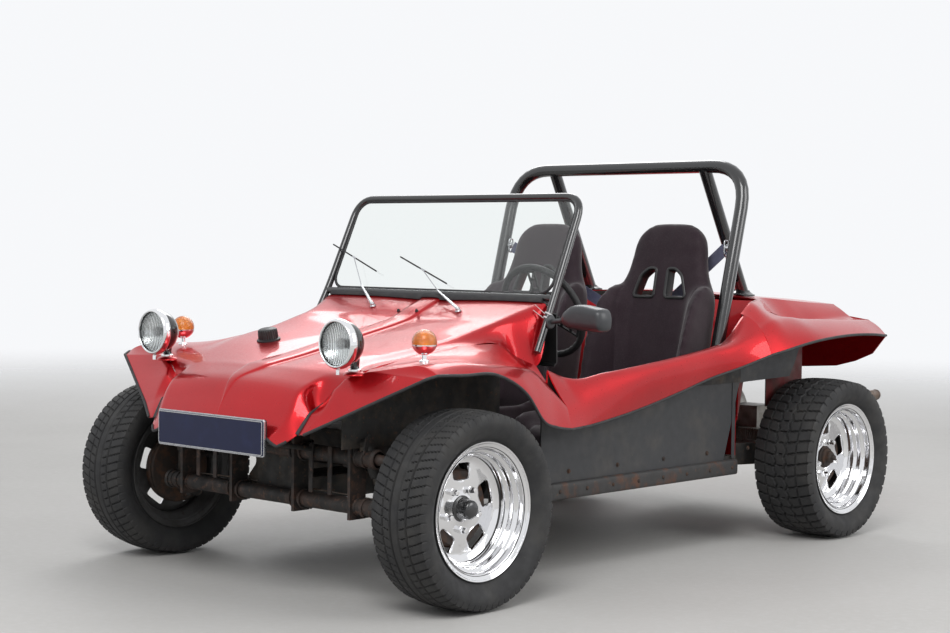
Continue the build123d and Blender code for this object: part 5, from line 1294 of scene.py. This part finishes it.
# station, how far the outline is shrunk towards its middle
mirrorLayers = [(509.5, 28), (510.5, 20), (514, 12), (520, 6), (529, 2), (544, 0), (563, 0.5), (569, 1.6), (570.5, 4),
                (569, 6), (565, 7)]
shrunk = [mirrorMiddle + (mirrorLine - mirrorMiddle) * (1 - inset / mirrorHalf) for _, inset in mirrorLayers]
housing = stacked(shrunk, [y for y, _ in mirrorLayers], (0, 0, 0), *frontFrame)
padSpot, ballSpot = np.array(mirror["pad"]), np.array(mirror["ball"])
armPad = knob([(0, 0.0), (0, 23.5), (4, 23.5), (8, 19), (10, 9), (10, 0.0)], padSpot, (1, 0, 0), 40)
ballForm = mirror["ballRadius"] * np.array([(np.cos(a), max(np.sin(a), 0.0)) for a in np.linspace(np.pi, 0, 17)])
ball = turned(ballForm, ballSpot - (mirror["ballRadius"], -1, 1), (1, 0, 0.1), 28)
arm = tube([padSpot + (4, 0, 0), padSpot + (24, -2, 2), ballSpot], 8.5, 14, 16)
addPiece("mirrorHousing", together(housing, armPad, ball, arm), moldedGrey, "black_plastic",
         stands=("side_mirror",), sharp=40)
faceLine = mirrorMiddle + (mirrorLine - mirrorMiddle) * mirror["glass"]
face = layered(faceLine, [(565.4, 0), (567, 0), (567.6, 0.8)], (0, 0, 0), frontFrame)
addPiece("mirrorGlass", face, mirrorFace, "glass", sharp=30)

# two bright ties round the screen's left leg
footLeg, lowLeg = np.array(screen["foot"]), np.array(screen["low"])
tilted = unit(unit(lowLeg - footLeg) + (0.35, 0.1, 0.2))
first = unit(np.cross(tilted, (0, 1.0, 0.2)))
second = np.cross(tilted, first)
ties = []
for height, tail in ((0.62, (-34, -14, 26)), (0.70, (-30, -16, 30))):
    middle = footLeg + (lowLeg - footLeg) * height
    turn = fullTurn(40)[:, None]
    circle = middle + (first * np.cos(turn) + second * np.sin(turn)) * 14.4
    ties.append(carried(circle, flatBar(1.0, 2.6), True, tilted))
    knot = middle + np.array((-4, -14.6, 2))
    tailPath = [knot + np.array(tail) * share for share in (0, 0.5, 1)]
    ties.append(carried(tailPath, flatBar(2.4, 0.7), scale=[1, 0.9, 0.7]))
addPiece("legTies", together(*ties), whiteClip, "black_plastic", sharp=40)
print("wipers and mirror made")

# front axle: dampers from the towers to the lower arms, grease rings, brake pipe, gussets and clamps
axle = {"y": -150.0, "levels": (289.0, 439.0), "end": 486.6, "damperTop": (437.0, -148.0, 482.0),
        "damperFoot": (503.0, -97.0, 279.0), "clamp": 28.8}
damperEnds = [np.array(axle[k]) for k in ("damperTop", "damperFoot")]
damperAxis = damperEnds[1] - damperEnds[0]
damperLength = np.linalg.norm(damperAxis)
damperProfile = [(0, 0.0), (0, 15), (4, 19), (12, 22), (102, 22), (106, 19.5), (108, 17.5), (damperLength - 22, 17.5),
                 (damperLength - 14, 14), (damperLength - 6, 9), (damperLength, 9), (damperLength, 0.0)]
damper = knob(damperProfile, damperEnds[0], damperAxis, 36, 1)
eyeForm = [(-16, 9), (-16, 15), (16, 15), (16, 9)]
boltForm = [(-24, 0.0), (-24, 8.5), (-17, 8.5), (-17, 5), (20, 5), (20, 0.0)]
eyes = [knob(eyeForm, spot, (1, 0, 0), 28, 1, closedProfile=True) for spot in damperEnds]
bolts = [turned(boltForm, spot, (1, 0, 0), 6) for spot in damperEnds]
collars = []
for level in axle["levels"]:
    for x, radius, half in ((448, 29.5, 6), (392, 28.0, 3), (418, 28.0, 3), (164, 28, 3), (136, 28, 3)):
        form = [(-half, 24.6), (-half, radius - 1.5), (-half + 1.5, radius), (half - 1.5, radius),
                (half, radius - 1.5), (half, 24.6)]
        collars.append(turned(form, (x, axle["y"], level), (1, 0, 0), 32, True))
    seal = [(0, 25.2), (0, 30.5), (3, 32), (7, 30), (10, 32), (14, 30), (16, 27.2), (16, 25.2)]
    collars.append(turned(seal, (axle["end"], axle["y"], level), (1, 0, 0), 36, True))
bothSides("dampers", together(damper, *eyes, *bolts), dustyBlack, "chassis_black", sharp=40)
bothSides("axleCollars", together(*collars), rustyBeam, "beam_rust", sharp=40)
clampLoops = []
for x in (128, 172):
    for level in axle["levels"]:
        angle = np.linspace(-0.3, np.pi + 0.3, 19)
        curve = np.column_stack([np.full(19, x), axle["y"] - axle["clamp"] * np.sin(angle),
                                 level + axle["clamp"] * np.cos(angle)])
        tail = np.array((0, 24.0, 0))
        clampLoops.append(tube([curve[0] + tail, *curve, curve[-1] + tail], 3.6, 0, 10))
        for end in (curve[0], curve[-1]):
            clampLoops.append(turned([(0, 0.0), (0, 7.5), (7, 7.5), (7, 0.0)], end + (0, 12, 0), (0, 1, 0), 6))
bothSides("axleClamps", together(*clampLoops), rustyBeam, "beam_rust", sharp=40)
pipe = tube([(-455, -119, 312), (-300, -119, 316), (-60, -117, 318), (0, -116, 330), (60, -117, 318),
             (300, -119, 316), (455, -119, 312)], 2.6, 30, 8)
addPiece("brakePipe", pipe, pipeSteel, "exhaust_steel", sharp=50)


# flat plate cut to an outline, from low to high along its frame's third axis, its edges bevelled
def plateShell(outline, low, high, axes, bevel=1.0):
    layers = [(low, bevel), (low + bevel, 0), (high - bevel, 0), (high, bevel)]
    return layered(outline, layers, (0, 0, 0), axes)


gusset = closedRounded([(36, 266), (143, 266), (143, 330), (104, 372), (104, 396), (143, 424), (143, 488),
                        (36, 488)], 14, 5)
bothSides("headGusset", plateShell(gusset, -116, -110, frontFrame), dustyBlack, "chassis_black", sharp=40)
tower = closedRounded([(-176, 448), (-124, 448), (-132, 506), (-148, 514), (-166, 506)], 9, 5)
towerPlates = [plateShell(tower, x, x + 5, crossFrame) for x in (411, 455)]
bothSides("damperTower", together(*towerPlates), rustyBeam, "beam_rust", sharp=40)
stay = closedRounded([(-9, 0), (9, 0), (9, 150), (-9, 150)], 4, 4)
stays = [plateShell(stay + (x, 318), -183, -178, frontFrame) for x in (232, 318)]
bothSides("plateStays", together(*stays), rustyBeam, "beam_rust", sharp=40)
plateArm = tube([(232, -176, 452), (232, -300, 474), (232, -382, 492)], 8, 40, 12)
bothSides("plateArms", plateArm, dustyBlack, "chassis_black", sharp=40)
print("front axle dressed")

# sill along the foot of each side panel, with a row of bolts, and bolts under the body's edge
sillForm = {"middle": (611.0, 291.0), "ends": (492, 495, 1572, 1575), "narrow": 0.94, "boltAt": (618.8, 290),
            "edgeBoltAt": (603.4, 352)}
sillSection = softened([(603.6, 263), (615, 263), (619, 268), (619, 310), (615, 317), (603.6, 320)], 1, 0.2, True)
sillY = np.concatenate([sillForm["ends"][:2], np.arange(510, 1560, 30.0), sillForm["ends"][2:]])
narrowed = np.interp(sillY, sillForm["ends"], [sillForm["narrow"], 1, 1, sillForm["narrow"]])
sillMiddle = np.array(sillForm["middle"])
lines = [sillMiddle + (sillSection - sillMiddle) * share for share in narrowed]
bothSides("sill", stacked(lines, sillY, (0, 0, 0), *frontFrame), sillMetal, "panel_grey", sharp=40)
boltRows = [(np.arange(560, 1560, 140.0), sillForm["boltAt"], [(0, 0.0), (0, 7), (2, 6.4), (3.6, 4), (4, 0.0)]),
            ((620, 880, 1140, 1400, 1660, 1860), sillForm["edgeBoltAt"],
             [(0, 0.0), (0, 8), (1.6, 8), (2.4, 5.5), (5, 5), (5, 0.0)])]
heads = [turned(form, (x, y, z), (1, 0, 0), 18) for stations, (x, z), form in boltRows for y in stations]
bothSides("sideBolts", together(*heads), brakeIron, "panel_grey", sharp=40)
seamLine = closedRounded([(1552, 322), (1572, 322), (1572, 612), (1552, 600)], 3, 3)
bothSides("panelSeam", plateShell(seamLine, 603.6, 606.4, crossFrame, 0.6), sheetGrey, "panel_grey", sharp=40)

# steering wheel: a rim with finger hollows, three slotted spokes and a domed boss
wheelForm = {"centre": (345.0, 785.0, 866.0), "tilt": 25.0, "radius": 165.0, "grip": 11.7, "around": 288,
             "section": 24, "hollows": 36, "spokes": 3, "sunk": 4.0, "slotHalf": 13.5}
centre, slope = np.array(wheelForm["centre"]), np.radians(wheelForm["tilt"])
wheelX, wheelZ = np.array((1.0, 0, 0)), np.array((0, np.cos(slope), np.sin(slope)))
wheelY = np.cross(wheelZ, wheelX)
major = fullTurn(wheelForm["around"])[:, None]
minor = fullTurn(wheelForm["section"])[None, :]
# grip: hollows for the fingers on the inside, cos(hollows * major), less a shallow cut at every other one
cuts = np.abs(np.sin(wheelForm["hollows"] / 2 * major + 0.3)) < 0.10
hollow = 1.1 * np.clip(-np.cos(minor), 0, 1) * np.cos(wheelForm["hollows"] * major) - 0.5 * cuts
thick = wheelForm["grip"] + hollow * 0.8
radial, lift = wheelForm["radius"] + thick * np.cos(minor), thick * np.sin(minor)
rim = (centre + (radial * np.cos(major))[..., None] * wheelX + (radial * np.sin(major))[..., None] * wheelY
       + lift[..., None] * wheelZ)
rimFaces = gridQuads(wheelForm["around"], wheelForm["section"], True, True)
rimShell = closedShell(rim.reshape(-1, 3), [rimFaces])
spokes = []
for k in range(wheelForm["spokes"]):
    turn = -np.pi / 2 + k * 2 * np.pi / wheelForm["spokes"]
    out = np.cos(turn) * wheelX + np.sin(turn) * wheelY
    wide = np.cross(wheelZ, out)
    middle = centre - wheelZ * wheelForm["sunk"]
    for sign in (-1, 1):
        rail = np.array([(26, sign * 15.5), (40, sign * 14.5), (100, sign * 12.5), (159, sign * 14.0)])
        path = middle + rail[:, :1] * out + rail[:, 1:] * wide
        spokes.append(carried(path, flatBar(3.4, 2.6), up=wheelZ))
    for reach in (46, 84, 122, 152):
        path = [middle + out * reach + wide * half for half in (-wheelForm["slotHalf"], wheelForm["slotHalf"])]
        spokes.append(carried(path, flatBar(5, 2.2), up=wheelZ))
bossProfile = [(-8, 0.0), (-8, 38), (-3, 40), (2, 39), (5, 31), (12, 29), (14, 24), (14, 0.0)]
addPiece("steeringRim", together(rimShell, *spokes), gripBlack, "black_rubber", body="steering",
         stands=("steering_wheel",), sharp=50)
addPiece("steeringBoss", knob(bossProfile, centre, wheelZ, 48), satinBlack, "black_plastic", body="steering",
         sharp=40)
print("sills and steering wheel made")

# engine dress: cooling fins and rocker covers on both banks, generator, pulley, belt and fan grille
dress = {"fan": (0, 2334.0, 410.0), "crank": (0, 2445.3, 290.0), "beltY": 2456.0, "high": (410.0, 56.0),
         "low": (290.0, 64.0), "grille": (0, 2337.5, 410.0), "muffler": (2511.3, 250.0), "tail": (586, 2612, 500)}
fin = closedRounded([(2182, 255.4), (2438, 255.4), (2438, 368), (2182, 368)], 8, 4)
fins = [plateShell(fin, x, x + 2.4, crossFrame, 0.5) for x in np.arange(132, 322, 9.0)]
bothSides("coolingFins", together(*fins), castAlloy, "alloy", sharp=40)
cover = closedRounded([(2190, 258), (2430, 258), (2424, 362), (2196, 362)], 20, 6)
coverShell = layered(cover, [(322, 0), (330, 0), (340, 2), (346, 7), (349.5, 16)], (0, 0, 0), crossFrame)
bail = tube([(330, 2205, 262), (352, 2235, 300), (352, 2385, 300), (330, 2415, 262)], 2.5, 22, 8)
bothSides("rockerCover", together(coverShell, bail), dustyBlack, "alloy", sharp=40)
generator = [(0, 0.0), (0, 30), (4, 44), (10, 46), (92, 46), (98, 40), (104, 22), (106, 16), (112, 16), (112, 62),
             (116, 64), (119, 52), (122, 52), (125, 64), (129, 62), (129, 20), (133, 12), (133, 0.0)]
crank = [(0, 0.0), (0, 70.6), (4, 71.5), (10, 60), (16, 60), (22, 71.5), (26, 70.6), (26, 30), (20, 24), (20, 0.0)]
pulleys = together(turned(generator, dress["fan"], (0, 1, 0), 56), turned(crank, dress["crank"], (0, 1, 0), 64))
addPiece("generator", pulleys, dustyBlack, "alloy", sharp=35)
# belt: an arc round each pulley, (centre height, radius), from one tangent point to the other
(highZ, highRadius), (lowZ, lowRadius) = dress["high"], dress["low"]
tangent = np.arcsin((lowRadius - highRadius) / (highZ - lowZ))
arcs = [(np.linspace(tangent, np.pi - tangent, 25), highZ, highRadius),
        (np.linspace(np.pi - tangent, 2 * np.pi + tangent, 29), lowZ, lowRadius)]
loop = np.concatenate([np.stack([radius * np.cos(turn), np.full(len(turn), dress["beltY"]),
                                 z + radius * np.sin(turn)], 1) for turn, z, radius in arcs])
loop = loop[np.linalg.norm(loop - np.roll(loop, 1, 0), axis=1) > 0.5]
addPiece("fanBelt", carried(loop, flatBar(4.5, 5), True, (0, 1, 0)), trimRubber, "black_rubber", sharp=40)
grilleSpot = np.array(dress["grille"])
grille = []
for radius in np.arange(58, 146, 11.0):
    circle = grilleSpot + ring(radius, 64) @ ((1, 0, 0), (0, 0, 1))
    grille.append(carried(circle, ring(1.8, 6), True, (0, 1, 0)))
for turn in np.arange(8) * np.pi / 4 + 0.2:
    out = np.array((np.cos(turn), 0, np.sin(turn)))
    grille.append(tube([grilleSpot + (0, 2.5, 0) + out * reach for reach in (44, 148)], 2.2, 0, 6))
addPiece("fanGrille", together(*grille), satinBlack, "alloy", sharp=50)
joinBand = [(-4, 33), (-4, 35.4), (0, 36.6), (4, 35.4), (4, 33)]
endBand = [(-5, 20), (-5, 35), (0, 37), (5, 35), (5, 20)]
bands = [turned(form, (x * 0.985, *dress["muffler"]), (1, 0, 0), 48, True)
         for x, form in ((-262, endBand), (-130, joinBand), (0, joinBand), (130, joinBand), (262, endBand))]
tailMouth = [(-6, 17.5), (-6, 21.6), (-2, 22.4), (3, 21.6), (3, 17.5)]
bands.append(turned(tailMouth, dress["tail"], (0, 1, 0), 40, True))
addPiece("exhaustBands", together(*bands), pipeSteel, "exhaust_steel", sharp=40)
print("engine dressed")

# finishes for the CAD nodes that stay in view
nodeFinish = {
    "bulkhead": redPaint, "tail_panel": redPaint, "dashboard": satinBlack, "side_panel": sheetGrey,
    "floor_pan": dustyBlack, "front_tub": dustyBlack, "front_beam": rustyBeam, "front_arms": rustyBeam,
    "steering_knuckle": rustyBeam, "steering_box": rustyBeam, "pitman_arm": rustyBeam, "tie_rod": rustyBeam,
    "rear_arm": dustyBlack, "transaxle": castAlloy, "engine": castAlloy, "exhaust": pipeSteel,
    "steering_column": glossBlack, "controls": glossBlack}
for name, node in frame["nodes"].items():
    keys = [key for key in nodeFinish if name.startswith(key)]
    if keys:
        for entry in node.material_slots:
            entry.material = nodeFinish[max(keys, key=len)]
